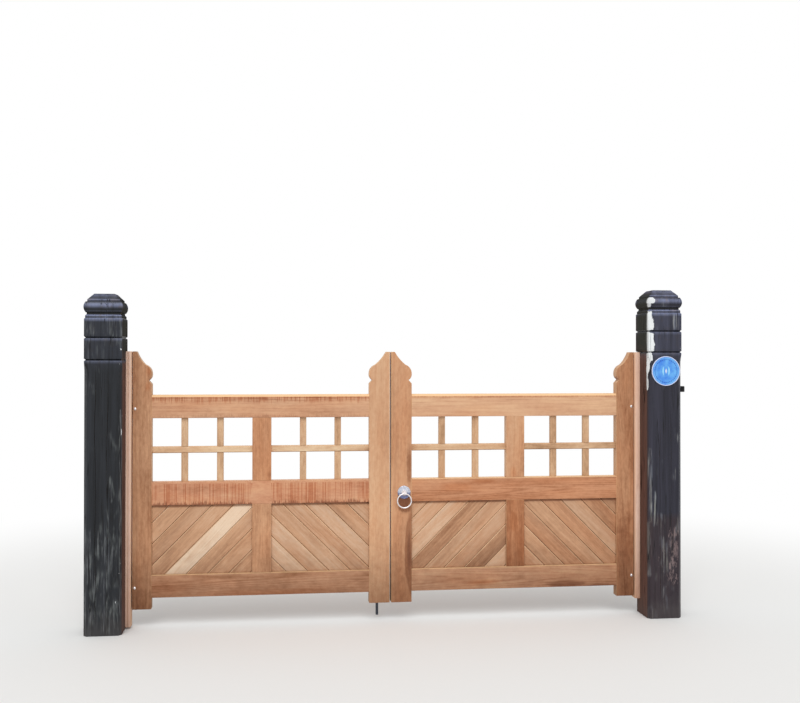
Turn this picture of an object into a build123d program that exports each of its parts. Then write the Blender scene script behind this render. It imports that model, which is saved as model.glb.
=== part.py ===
# Pair of framed timber gates on moulded posts, in millimetres, +Z up, road side toward -Y
from build123d import *
import os

# Posts: square timber with a moulded head, feet on the lowest ground at z = 0
POST_SIDE = 205.0
LEFT_POST_TOP = 1878.0
RIGHT_POST_TOP = 1926.0
OPENING = 3000.0
ARRIS_CUT = 18.0
ARRIS_STOP_BELOW_TOP = 400.0
ARRIS_RUN_OUT = 26.0

# Moulding of a post head, each height measured down from the top
CAP_FLAT = 111.0
CAP_SLOPE_DROP = 33.0
CAP_EDGE = 176.0
CAP_EDGE_DROP = 45.0
ROLL_START = 190.0
ROLL_WIDE = 210.0
ROLL_MID_DROP = 75.0
ROLL_END_DROP = 105.0
NECK = 181.0
NECK_DROP = 116.0
LEDGE = 195.0
LEDGE_DROP = 121.0
SHOULDER_DROP = 136.0
SHOULDER_EASE_DROP = 140.0
GROOVE_DROPS = (243.0, 366.0)
GROOVE_WIDE = 13.0
GROOVE_DEEP = 8.0

# Hanging strips on the inner faces of the posts
STRIP_WIDE = 31.0
STRIP_DEEP = 60.0
STRIP_SETBACK = 134.0
STRIP_TOP = 1560.0
LEFT_STRIP_FOOT = 10.0
RIGHT_STRIP_FOOT = 90.0
STRIP_ARRIS = 4.0

# Leaves: frame members lie flush front and back
LEAF_THICK = 58.0
LEAF_SETBACK = 144.0
LEAF_FOOT = 105.0
HANG_GAP = 6.0
MEET_GAP = 8.0
HANGING_STILE = 105.0
MEETING_STILE = 120.0
STILE_TOP = 1560.0
MEETING_ARRIS = 5.0
MEETING_SPLAY = 1.4
MUNTIN = 108.0
BOTTOM_RAIL_FOOT = 169.0
BOTTOM_RAIL = 128.0
PANEL_HIGH = 392.0
MIDDLE_RAIL = 132.0
LATTICE_HIGH = 361.0
TOP_RAIL = 132.0
WEATHERING_HIGH = 13.0
WEATHERING_DEEP = 12.0

# Ogee head of a stile, drops measured down from the stile top
HEAD_FLAT = 21.0
SCOOP_END_IN = 36.0
SCOOP_END_DROP = 75.0
SCOOP_SAG = 5.0
NOSE_DROP = 124.0
NOSE_SAG = 9.5
CURL_IN = 4.0
CURL_DROP = 149.0
NOTCH_IN = 18.0
NOTCH_DROP = 164.0
SPLAY_DROP = 184.0

# Joinery: stub tenons and grooved-in panels
TENON_LONG = 70.0
MUNTIN_TENON_LONG = 40.0
TENON_THICK = 19.0
TENON_SHOULDER = 12.0
TENON_SLACK = 0.2
PANEL_THICK = 22.0
PANEL_SETBACK = 12.0
PANEL_GROOVE = 10.0

# Lattice bars, half lapped where they cross
BAR_WIDE = 37.0
BAR_DEEP = 30.0
BAR_SETBACK = 16.0
BAR_ARRIS = 4.0

# Hinges: a band with a rolled eye turns on the pin of a hook
PIN_RADIUS = 8.0
EYE_SLACK = 0.3
EYE_OUTER = 14.5
BAND_THICK = 6.0
BAND_WIDE = 50.0
BAND_TIP_WIDE = 36.0
BAND_LONG = 520.0
PIN_INTO_GAP = 3.0
UPPER_BAND_Z = 1236.0
LOWER_BAND_Z = 227.0
HOOK_SHANK = 9.0
HOOK_SEAT_GAP = 0.5
HOOK_PLATE_WIDE = 56.0
HOOK_PLATE_HIGH = 116.0
HOOK_PLATE_THICK = 6.0
HOOK_PLATE_EDGE = 14.0
PIN_PROUD = 7.0

# Drop bolt on the back of the left meeting stile
BOLT_RADIUS = 8.0
BOLT_SLACK = 0.4
BOLT_FROM_EDGE = 68.0
BOLT_STANDOFF = 14.0
BOLT_FOOT = 20.0
BOLT_TOP = 640.0
BOLT_HANDLE = 72.0
BOLT_BEND = 22.0
COLLAR_RADIUS = 13.0
COLLAR_HIGH = 9.0
COLLAR_SEAT = 0.3
STAPLE_HIGH = 36.0
STAPLE_WIDE = 66.0
STAPLE_PLATE = 4.0
STAPLE_OUTER = 14.0
LOWER_STAPLE_Z = 215.0
UPPER_STAPLE_Z = 500.0

# Ring latch through the right meeting stile
LATCH_FROM_EDGE = 75.0
LATCH_Z = 743.0
ROSE_RADIUS = 38.0
ROSE_THICK = 5.0
ROSE_EASE = 2.5
SPINDLE_RADIUS = 7.0
SPINDLE_SLACK = 0.3
BOSS_RADIUS = 15.0
BOSS_LONG = 6.0
SEAT_GAP = 0.3
LUG_WIDE = 14.0
LUG_REACH = 14.5
LUG_DROP = 7.0
LUG_WALL = 4.5
RING_RADIUS = 40.5
RING_BAR = 4.5
RING_SLACK = 0.9
KNOB_RADIUS = 20.0
KNOB_LONG = 26.0

# Disc plaque on the front of the right post
PLAQUE_RADIUS = 86.5
PLAQUE_THICK = 5.0
PLAQUE_RIM = 5.0
PLAQUE_RIM_PROUD = 1.5
PLAQUE_Z = 1449.0
PLAQUE_OFFSET = 5.0

# Cut-off iron bar in the outer side of the right post
STUB_Z = 1342.0
STUB_HIGH = 34.0
STUB_DEEP = 30.0
STUB_PROUD = 30.0
STUB_SETBACK = 27.0
STUB_EASE = 3.0

HALF_POST = POST_SIDE / 2
LEFT_FACE = HALF_POST
RIGHT_FACE = HALF_POST + OPENING
RIGHT_POST_X = POST_SIDE + OPENING
CENTRE_X = HALF_POST + OPENING / 2
FRONT_Y = LEAF_SETBACK - HALF_POST
BACK_Y = FRONT_Y + LEAF_THICK
LEAF_X0 = LEFT_FACE + STRIP_WIDE + HANG_GAP
LEAF_X1 = CENTRE_X - MEET_GAP / 2
INNER_X0 = LEAF_X0 + HANGING_STILE
INNER_X1 = LEAF_X1 - MEETING_STILE
MUNTIN_X0 = (INNER_X0 + INNER_X1 - MUNTIN) / 2
MUNTIN_X1 = MUNTIN_X0 + MUNTIN
MIDDLE_RAIL_FOOT = BOTTOM_RAIL_FOOT + BOTTOM_RAIL + PANEL_HIGH
TOP_RAIL_FOOT = MIDDLE_RAIL_FOOT + MIDDLE_RAIL + LATTICE_HIGH
RAILS = {
    "bottom_rail": (BOTTOM_RAIL_FOOT, BOTTOM_RAIL),
    "middle_rail": (MIDDLE_RAIL_FOOT, MIDDLE_RAIL),
    "top_rail": (TOP_RAIL_FOOT, TOP_RAIL),
}
BAYS = {"outer": (INNER_X0, MUNTIN_X0), "inner": (MUNTIN_X1, INNER_X1)}
PIN_X = LEFT_FACE + STRIP_WIDE + PIN_INTO_GAP
PIN_Y = BACK_Y + EYE_OUTER
BOLT_X = LEAF_X1 - BOLT_FROM_EDGE
BOLT_Y = BACK_Y + BOLT_STANDOFF
LATCH_X = CENTRE_X + MEET_GAP / 2 + LATCH_FROM_EDGE
RING_Y = FRONT_Y - ROSE_THICK - LUG_REACH
RING_PIVOT_Z = LATCH_Z - LUG_DROP


def block(x0, x1, y0, y1, z0, z1):
    # Box between two opposite corners
    centre = ((x0 + x1) / 2, (y0 + y1) / 2, (z0 + z1) / 2)
    return Pos(*centre) * Box(x1 - x0, y1 - y0, z1 - z0)


def outline(points):
    # Closed face from corner points, a three-point entry being an arc to its last point
    edges = []
    here = points[0]
    for step in points[1:] + [points[0]]:
        if len(step) == 3:
            edges.append(ThreePointArc(here, step[1], step[2]))
            here = step[2]
        else:
            edges.append(Line(here, step))
            here = step
    return make_face(edges)


def upright(face, y0, y1):
    # Face drawn in X and Z, given its depth along Y
    return Pos(0, y1, 0) * extrude(Plane.XZ * face, y1 - y0)


def along_x(face, x0, x1):
    # Face drawn in Y and Z, drawn out along X
    return Pos(x0, 0, 0) * extrude(Plane.YZ * face, x1 - x0)


def rod_y(radius, y0, y1, x, z):
    # Round bar lying along Y
    return Pos(x, (y0 + y1) / 2, z) * Rot(X=90) * Cylinder(radius, y1 - y0)


def rod_z(radius, z0, z1, x, y):
    # Round bar standing along Z
    return Pos(x, y, (z0 + z1) / 2) * Cylinder(radius, z1 - z0)


def to_right(shape):
    # Mirror image about the middle of the gateway
    return mirror(shape, about=Plane.YZ.offset(CENTRE_X))


def sagged(start, end, sag):
    # Arc entry from start to end that bows sideways by sag
    dx, dz = end[0] - start[0], end[1] - start[1]
    span = (dx * dx + dz * dz) ** 0.5
    middle = ((start[0] + end[0]) / 2 + sag * dz / span, (start[1] + end[1]) / 2 - sag * dx / span)
    return (start, middle, end)


def head_side(top):
    # Right-hand edge of a post head from its flat down to the shaft
    def at(width, drop):
        return (width / 2, top - drop)

    roll_start, roll_mid = at(ROLL_START, CAP_EDGE_DROP), at(ROLL_WIDE, ROLL_MID_DROP)
    side = [
        at(CAP_FLAT, 0), at(CAP_EDGE, CAP_SLOPE_DROP), at(CAP_EDGE, CAP_EDGE_DROP), roll_start,
        (roll_start, roll_mid, at(ROLL_START, ROLL_END_DROP)),
        at(NECK, ROLL_END_DROP), at(NECK, NECK_DROP), at(LEDGE, LEDGE_DROP),
        at(LEDGE, SHOULDER_DROP), at(POST_SIDE, SHOULDER_EASE_DROP),
    ]
    for drop in GROOVE_DROPS:
        side += [
            at(POST_SIDE, drop - GROOVE_WIDE / 2), at(POST_SIDE - 2 * GROOVE_DEEP, drop),
            at(POST_SIDE, drop + GROOVE_WIDE / 2),
        ]
    return side


def mirrored_side(side):
    # The same edge walked back up on the other side of the centre line
    def flip(p):
        return (-p[0], p[1])

    ends = [step[-1] if len(step) == 3 else step for step in side]
    back = []
    for i in range(len(side) - 1, -1, -1):
        if i + 1 < len(side) and len(side[i + 1]) == 3:
            back.append((flip(ends[i + 1]), flip(side[i + 1][1]), flip(ends[i])))
        else:
            back.append(flip(ends[i]))
    return back


def arris_cutter(top):
    # Wedge that takes one corner off the shaft and runs out below the head
    flat = HALF_POST * 2 ** 0.5 - ARRIS_CUT / 2 ** 0.5
    stop = top - ARRIS_STOP_BELOW_TOP
    reach = ARRIS_CUT * 2
    face = outline([
        (flat, -1.0), (flat, stop), (flat + reach, stop + ARRIS_RUN_OUT * 2), (flat + reach, -1.0),
    ])
    return upright(face, -POST_SIDE / 4, POST_SIDE / 4)


def post(top):
    # Square post whose head moulding runs round all four sides
    side = head_side(top)
    face = outline(side + [(HALF_POST, 0.0), (-HALF_POST, 0.0)] + mirrored_side(side))
    slab = upright(face, -ROLL_WIDE / 2, ROLL_WIDE / 2)
    solid = slab & (Rot(Z=90) * slab)
    for corner in range(4):
        solid -= Rot(Z=45 + 90 * corner) * arris_cutter(top)
    return solid


def strip(foot):
    # Batten on the inner face of a post with an eased front arris
    y0 = STRIP_SETBACK - HALF_POST
    face = Polyline(
        (LEFT_FACE, y0), (LEFT_FACE + STRIP_WIDE - STRIP_ARRIS, y0),
        (LEFT_FACE + STRIP_WIDE, y0 + STRIP_ARRIS), (LEFT_FACE + STRIP_WIDE, y0 + STRIP_DEEP),
        (LEFT_FACE, y0 + STRIP_DEEP), close=True,
    )
    return Pos(0, 0, foot) * extrude(make_face(face), STRIP_TOP - foot)


def stile_outline(width):
    # Stile seen from the front: straight edge at x = 0, ogee head on the other
    top = STILE_TOP
    flat_end = (HEAD_FLAT, top)
    scoop_end = (width - SCOOP_END_IN, top - SCOOP_END_DROP)
    nose = (width, top - NOSE_DROP)
    notch = (width - NOTCH_IN, top - NOTCH_DROP)
    return outline([
        (0.0, LEAF_FOOT), (0.0, top), flat_end,
        sagged(flat_end, scoop_end, SCOOP_SAG), sagged(scoop_end, nose, -NOSE_SAG),
        (nose, (width - CURL_IN, top - CURL_DROP), notch),
        (width, top - SPLAY_DROP), (width, LEAF_FOOT),
    ])


def tenon(x0, x1, z0, z1, slack=0.0):
    # Tongue in the middle of the leaf thickness, or its mortise when given slack
    mid = (FRONT_Y + BACK_Y) / 2
    half = TENON_THICK / 2 + slack
    return block(x0 - slack, x1 + slack, mid - half, mid + half, z0 - slack, z1 + slack)


def rail_tenons(name, slack=0.0):
    # Both end tenons of a rail
    foot, high = RAILS[name]
    z0, z1 = foot + TENON_SHOULDER, foot + high - TENON_SHOULDER
    return [
        tenon(INNER_X0 - TENON_LONG, INNER_X0, z0, z1, slack),
        tenon(INNER_X1, INNER_X1 + TENON_LONG, z0, z1, slack),
    ]


def muntin_tenons(z0, z1, slack=0.0):
    # Upper and lower tenons of a muntin
    x0, x1 = MUNTIN_X0 + TENON_SHOULDER, MUNTIN_X1 - TENON_SHOULDER
    return [
        tenon(x0, x1, z1, z1 + MUNTIN_TENON_LONG, slack),
        tenon(x0, x1, z0 - MUNTIN_TENON_LONG, z0, slack),
    ]


def panel(bay, slack=0.0):
    # Flat panel whose edges stand in grooves all round
    x0, x1 = BAYS[bay]
    grow = PANEL_GROOVE + slack
    y0 = FRONT_Y + PANEL_SETBACK
    return block(
        x0 - grow, x1 + grow, y0 - slack, y0 + PANEL_THICK + slack,
        BOTTOM_RAIL_FOOT + BOTTOM_RAIL - grow, MIDDLE_RAIL_FOOT + grow,
    )


def grooved(shape):
    # Frame member with the panel grooves taken out of it
    for bay in BAYS:
        shape -= panel(bay, TENON_SLACK)
    return shape


def splay_wedge():
    # Wedge that lets a meeting edge reach further at the back, where it swings clear
    plan = Polyline((0.0, FRONT_Y), (-MEETING_SPLAY, BACK_Y), (0.0, BACK_Y), close=True)
    return Pos(0, 0, LEAF_FOOT) * extrude(make_face(plan), STILE_TOP - LEAF_FOOT)


def stile(width, straight_edge_x, toward):
    # Stile with mortises for the three rails
    body = upright(stile_outline(width), FRONT_Y, BACK_Y)
    if width == MEETING_STILE:
        body += splay_wedge()
        front_edge = body.edges().filter_by(Axis.Z).sort_by(lambda e: abs(e.center().X) + e.center().Y)[0]
        body = chamfer(front_edge, MEETING_ARRIS)
    if toward < 0:
        body = mirror(body, about=Plane.YZ)
    body = Pos(straight_edge_x, 0, 0) * body
    for name in RAILS:
        for mortise in rail_tenons(name, TENON_SLACK):
            body -= mortise
    return grooved(body)


def rail(name):
    # Rail between the stiles, the top one weathered along both upper edges
    foot, high = RAILS[name]
    rise = WEATHERING_HIGH if name == "top_rail" else 0.0
    ease = WEATHERING_DEEP if rise else 0.0
    corners = [(FRONT_Y, foot), (BACK_Y, foot), (BACK_Y, foot + high - rise)]
    if rise:
        corners += [(BACK_Y - ease, foot + high), (FRONT_Y + ease, foot + high)]
    corners.append((FRONT_Y, foot + high - rise))
    body = along_x(outline(corners), INNER_X0, INNER_X1)
    for tongue in rail_tenons(name):
        body += tongue
    for z0, z1 in muntin_spans():
        for mortise in muntin_tenons(z0, z1, TENON_SLACK):
            body -= mortise
    return grooved(body)


def muntin_spans():
    # Height of the lower and of the upper muntin
    lower = (BOTTOM_RAIL_FOOT + BOTTOM_RAIL, MIDDLE_RAIL_FOOT)
    upper = (MIDDLE_RAIL_FOOT + MIDDLE_RAIL, TOP_RAIL_FOOT)
    return [lower, upper]


def muntin(span):
    # Short upright between two rails
    z0, z1 = span
    body = block(MUNTIN_X0, MUNTIN_X1, FRONT_Y, BACK_Y, z0, z1)
    for tongue in muntin_tenons(z0, z1):
        body += tongue
    return grooved(body)


def bar_outline(across):
    # Section of a lattice bar, front arrises chamfered, centred on across
    y0 = FRONT_Y + BAR_SETBACK
    half = BAR_WIDE / 2
    return [
        (across - half, y0 + BAR_ARRIS), (across - half + BAR_ARRIS, y0),
        (across + half - BAR_ARRIS, y0), (across + half, y0 + BAR_ARRIS),
        (across + half, y0 + BAR_DEEP), (across - half, y0 + BAR_DEEP),
    ]


def lattice(bay):
    # Two upright bars half lapped with one level bar
    x0, x1 = BAYS[bay]
    z0, z1 = muntin_spans()[1]
    pane = (x1 - x0 - 2 * BAR_WIDE) / 3
    level = outline([(y, z) for z, y in bar_outline((z0 + z1) / 2)])
    body = along_x(level, x0, x1)
    for i in (1, 2):
        across = x0 + i * (pane + BAR_WIDE) - BAR_WIDE / 2
        body += Pos(0, 0, z0) * extrude(outline(bar_outline(across)), z1 - z0)
    return body


def band(z):
    # Hinge band: tapered strap with a round tip and an eye rolled at the pin
    half, tip = BAND_WIDE / 2, BAND_TIP_WIDE / 2
    end = PIN_X + BAND_LONG
    strap = outline([
        (PIN_X, z - half), (end - tip, z - tip),
        ((end - tip, z - tip), (end, z), (end - tip, z + tip)), (PIN_X, z + half),
    ])
    body = upright(strap, BACK_Y, BACK_Y + BAND_THICK)
    body += rod_z(EYE_OUTER, z - half, z + half, PIN_X, PIN_Y)
    return body - rod_z(PIN_RADIUS + EYE_SLACK, z - half - 1, z + half + 1, PIN_X, PIN_Y)


def hook(z):
    # Hook plate on the back of a post, with a level shank that turns up as the pin
    seat = z - BAND_WIDE / 2 - HOOK_SEAT_GAP
    shank_z = seat - HOOK_SHANK
    plate_x1 = LEFT_FACE - HOOK_PLATE_EDGE
    plate_x0 = plate_x1 - HOOK_PLATE_WIDE
    plate_mid = (plate_x0 + plate_x1) / 2
    high = HOOK_PLATE_HIGH / 2
    body = block(
        plate_x0, plate_x1, HALF_POST, HALF_POST + HOOK_PLATE_THICK, shank_z - high, shank_z + high,
    )
    shank_long = PIN_X - plate_mid
    body += Pos(plate_mid + shank_long / 2, PIN_Y, shank_z) * Rot(Y=90) * Cylinder(HOOK_SHANK, shank_long)
    body += Pos(PIN_X, PIN_Y, shank_z) * Sphere(HOOK_SHANK)
    pin_top = z + BAND_WIDE / 2 + PIN_PROUD
    pin = rod_z(PIN_RADIUS, shank_z, pin_top, PIN_X, PIN_Y)
    pin = chamfer(pin.edges().group_by(Axis.Z)[-1], PIN_RADIUS / 4)
    return body + pin


def drop_bolt():
    # Bolt rod with a collar that rests on the lower staple and a bent handle
    path = Polyline((BOLT_X, BOLT_Y, BOLT_FOOT), (BOLT_X, BOLT_Y, BOLT_TOP), (BOLT_X - BOLT_HANDLE, BOLT_Y, BOLT_TOP))
    bent = fillet(path.vertices().filter_by(lambda v: v.Z == BOLT_TOP and v.X == BOLT_X), BOLT_BEND)
    face = Plane((BOLT_X, BOLT_Y, BOLT_FOOT), z_dir=(0, 0, 1)) * Circle(BOLT_RADIUS)
    body = sweep(face, path=bent)
    seat = LOWER_STAPLE_Z + STAPLE_HIGH + COLLAR_SEAT
    return body + rod_z(COLLAR_RADIUS, seat, seat + COLLAR_HIGH, BOLT_X, BOLT_Y)


def bolt_staple(z0):
    # Plate with a round saddle that guides the bolt rod
    z1 = z0 + STAPLE_HIGH
    body = block(
        BOLT_X - STAPLE_WIDE / 2, BOLT_X + STAPLE_WIDE / 2, BACK_Y, BACK_Y + STAPLE_PLATE, z0, z1,
    )
    body += block(BOLT_X - STAPLE_OUTER, BOLT_X + STAPLE_OUTER, BACK_Y, BOLT_Y, z0, z1)
    body += rod_z(STAPLE_OUTER, z0, z1, BOLT_X, BOLT_Y)
    return body - rod_z(BOLT_RADIUS + BOLT_SLACK, z0 - 1, z1 + 1, BOLT_X, BOLT_Y)


def spindle_bore():
    # Clearance hole for the latch spindle
    return rod_y(SPINDLE_RADIUS + SPINDLE_SLACK, FRONT_Y - 50, BACK_Y + 50, LATCH_X, LATCH_Z)


def rose(y_wood, outward):
    # Round plate round the spindle with an eased rim
    y_face = y_wood + outward * ROSE_THICK
    disc = rod_y(ROSE_RADIUS, min(y_wood, y_face), max(y_wood, y_face), LATCH_X, LATCH_Z)
    rim = disc.edges().sort_by(Axis.Y)[0 if outward < 0 else -1]
    return chamfer(rim, ROSE_EASE) - spindle_bore()


def latch_spindle():
    # Spindle with the ring's flat lug in front and a knob behind
    face_y, back_y = FRONT_Y - ROSE_THICK, BACK_Y + ROSE_THICK
    body = rod_y(SPINDLE_RADIUS, face_y, back_y, LATCH_X, LATCH_Z)
    body += rod_y(BOSS_RADIUS, face_y - SEAT_GAP - BOSS_LONG, face_y - SEAT_GAP, LATCH_X, LATCH_Z)
    eye = RING_BAR + RING_SLACK
    lug_end = eye + LUG_WALL
    half = LUG_WIDE / 2
    lug = block(
        LATCH_X - half, LATCH_X + half, RING_Y, face_y - SEAT_GAP, RING_PIVOT_Z - lug_end, LATCH_Z + LUG_DROP,
    )
    lug += Pos(LATCH_X, RING_Y, RING_PIVOT_Z) * Rot(Y=90) * Cylinder(lug_end, LUG_WIDE)
    lug += block(LATCH_X - half, LATCH_X + half, RING_Y - lug_end, RING_Y, RING_PIVOT_Z, RING_PIVOT_Z + lug_end / 2)
    body += lug
    body -= Pos(LATCH_X, RING_Y, RING_PIVOT_Z) * Rot(Y=90) * Cylinder(eye, LUG_WIDE * 4)
    knob = rod_y(BOSS_RADIUS, back_y + SEAT_GAP, back_y + KNOB_LONG / 2, LATCH_X, LATCH_Z)
    knob += Pos(LATCH_X, back_y + KNOB_LONG / 2 + KNOB_RADIUS / 3, LATCH_Z) * scale(
        Sphere(KNOB_RADIUS), (1, 0.55, 1)
    )
    return body + rod_y(SPINDLE_RADIUS, face_y - SEAT_GAP, back_y + SEAT_GAP + 1, LATCH_X, LATCH_Z) + knob


def latch_ring():
    # Round-bar ring hanging from the lug
    turned = Rot(X=90) * Torus(RING_RADIUS, RING_BAR)
    return Pos(LATCH_X, RING_Y, RING_PIVOT_Z - RING_RADIUS) * turned


def plaque():
    # Thin disc with a raised rim, face bare
    x = RIGHT_POST_X + PLAQUE_OFFSET
    face = -HALF_POST
    disc = rod_y(PLAQUE_RADIUS, face - PLAQUE_THICK, face, x, PLAQUE_Z)
    rim = rod_y(PLAQUE_RADIUS, face - PLAQUE_THICK - PLAQUE_RIM_PROUD, face, x, PLAQUE_Z)
    rim -= rod_y(PLAQUE_RADIUS - PLAQUE_RIM, face - PLAQUE_THICK * 3, face + 1, x, PLAQUE_Z)
    return disc + rim


def post_stub():
    # Bar end that stands out of the right post's outer side, its outer edges eased
    x0, y0 = RIGHT_POST_X + HALF_POST, STUB_SETBACK - HALF_POST
    z0 = STUB_Z - STUB_HIGH / 2
    body = block(x0, x0 + STUB_PROUD, y0, y0 + STUB_DEEP, z0, z0 + STUB_HIGH)
    return chamfer(body.faces().sort_by(Axis.X)[-1].edges(), STUB_EASE)


def leaf():
    # Every piece of the left leaf's frame, filling and bands, by name
    lower, upper = muntin_spans()
    pieces = {
        "hanging_stile": stile(HANGING_STILE, LEAF_X0, 1),
        "meeting_stile": stile(MEETING_STILE, LEAF_X1, -1),
        "lower_muntin": muntin(lower),
        "upper_muntin": muntin(upper),
        "band_lower": band(LOWER_BAND_Z),
        "band_upper": band(UPPER_BAND_Z),
    }
    for name in RAILS:
        pieces[name] = rail(name)
    for bay in BAYS:
        pieces["lattice_" + bay] = lattice(bay)
        pieces["panel_" + bay] = panel(bay)
    return pieces


def build():
    # All pieces of the gateway by node name
    nodes = {
        "left_post": post(LEFT_POST_TOP),
        "right_post": Pos(RIGHT_POST_X, 0, 0) * post(RIGHT_POST_TOP),
        "left_strip": strip(LEFT_STRIP_FOOT),
        "right_strip": to_right(strip(RIGHT_STRIP_FOOT)),
        "plaque": plaque(),
        "right_post_stub": post_stub(),
        "drop_bolt": drop_bolt(),
        "bolt_staple_lower": bolt_staple(LOWER_STAPLE_Z),
        "bolt_staple_upper": bolt_staple(UPPER_STAPLE_Z),
        "front_rose": rose(FRONT_Y, -1),
        "rear_rose": rose(BACK_Y, 1),
        "latch_spindle": latch_spindle(),
        "latch_ring": latch_ring(),
    }
    for level, z in (("lower", LOWER_BAND_Z), ("upper", UPPER_BAND_Z)):
        nodes["left_hook_" + level] = hook(z)
        nodes["right_hook_" + level] = to_right(hook(z))
    for name, shape in leaf().items():
        nodes["left_" + name] = shape
        nodes["right_" + name] = to_right(shape)
    for name in ("right_meeting_stile", "right_middle_rail"):
        nodes[name] -= spindle_bore()
    return nodes


os.makedirs("parts", exist_ok=True)
for node, solid in build().items():
    export_step(solid, f"parts/{node}.step")
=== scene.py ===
"""Double timber gate on moulded posts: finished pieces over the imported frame."""

import logging
import math
import random
from dataclasses import dataclass, field
from enum import Enum, IntEnum
from typing import Any, Callable, Iterable, Sequence

import bmesh
import bpy
import numpy as np
from mathutils import Matrix, Vector, noise


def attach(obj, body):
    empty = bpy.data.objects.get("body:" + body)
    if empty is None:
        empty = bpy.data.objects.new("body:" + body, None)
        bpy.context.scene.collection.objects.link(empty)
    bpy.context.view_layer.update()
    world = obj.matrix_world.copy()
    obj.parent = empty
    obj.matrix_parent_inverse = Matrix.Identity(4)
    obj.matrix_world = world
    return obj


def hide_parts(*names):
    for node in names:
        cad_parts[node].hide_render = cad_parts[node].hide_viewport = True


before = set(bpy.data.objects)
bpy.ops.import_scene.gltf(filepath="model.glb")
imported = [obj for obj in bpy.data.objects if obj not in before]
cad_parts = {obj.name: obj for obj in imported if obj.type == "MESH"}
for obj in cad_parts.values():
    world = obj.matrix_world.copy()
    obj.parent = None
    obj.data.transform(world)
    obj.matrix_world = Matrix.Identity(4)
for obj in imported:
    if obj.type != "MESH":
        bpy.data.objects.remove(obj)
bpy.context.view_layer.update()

Colour = tuple[float, float, float, float]
Triple = tuple[float, float, float]
Pair = tuple[float, float]
Shape = bmesh.types.BMesh
Marks = dict[str, np.ndarray]

LOG = logging.getLogger("gate")
MM = 0.001
SEED = 17
X, Y, Z = range(3)
ORIGIN: Triple = (0.0, 0.0, 0.0)
ALONG_X: Triple = (1.0, 0.0, 0.0)
ALONG_Y: Triple = (0.0, 1.0, 0.0)
ALONG_Z: Triple = (0.0, 0.0, 1.0)
TO_ROAD: Triple = (0.0, -1.0, 0.0)
SLOPE = math.sqrt(0.5)
RISING: Triple = (SLOPE, 0.0, SLOPE)
FALLING: Triple = (SLOPE, 0.0, -SLOPE)
WHITE: Colour = (1.0, 1.0, 1.0, 1.0)


class Side(Enum):
    """Which half of the gateway a piece belongs to."""

    LEFT = "left"
    RIGHT = "right"

    @property
    def way(self) -> float:
        """Along X from this half toward the middle."""
        return 1.0 if self is Side.LEFT else -1.0


class Bay(Enum):
    """The two openings of a leaf, by their distance from the hinges."""

    OUTER = "outer"
    INNER = "inner"


class Rail(Enum):
    """The three rails of a leaf."""

    BOTTOM = "bottom"
    MIDDLE = "middle"
    TOP = "top"


class Face(IntEnum):
    """Faces of a post, by their quarter turns from the road's side."""

    FRONT = 0
    RIGHT = 1
    BACK = 2
    LEFT = 3


class Wear(Enum):
    """Marks of wear and painted shade on a post, numbered as its mesh stores them."""

    FLAKED = 0
    BARE = 1
    BROWNED = 2
    SHADED = 3
    SCUFFED = 4


# Node trees


def math_node(operation: str, swapped: bool = False) -> Callable[..., "Val"]:
    """Make a method that adds one Math node.

    Args:
        operation: the node's operation.
        swapped: whether the other term comes first.

    Returns:
        The method.
    """

    def method(self: "Val", *others: Any) -> "Val":
        """The node's result over this value and the others."""
        terms = (*others, self) if swapped else (self, *others)
        return self.graph.value("ShaderNodeMath", {"operation": operation}, dict(enumerate(terms)))

    return method


class Val:
    """A socket of a node tree that does sums; each operator adds a Math node."""

    def __init__(self, graph: "Graph", socket: bpy.types.NodeSocket) -> None:
        """Hold one output socket of a graph."""
        self.graph = graph
        self.socket = socket

    __add__, __radd__ = math_node("ADD"), math_node("ADD", True)
    __sub__, __rsub__ = math_node("SUBTRACT"), math_node("SUBTRACT", True)
    __mul__, __rmul__ = math_node("MULTIPLY"), math_node("MULTIPLY", True)
    __pow__, sine = math_node("POWER"), math_node("SINE")
    size, least, most = math_node("ABSOLUTE"), math_node("MINIMUM"), math_node("MAXIMUM")

    def __neg__(self) -> "Val":
        """This value with its sign changed."""
        return 0.0 - self

    def held(self) -> "Val":
        """This value kept from 0 to 1."""
        return self.most(0.0).least(1.0)


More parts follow.
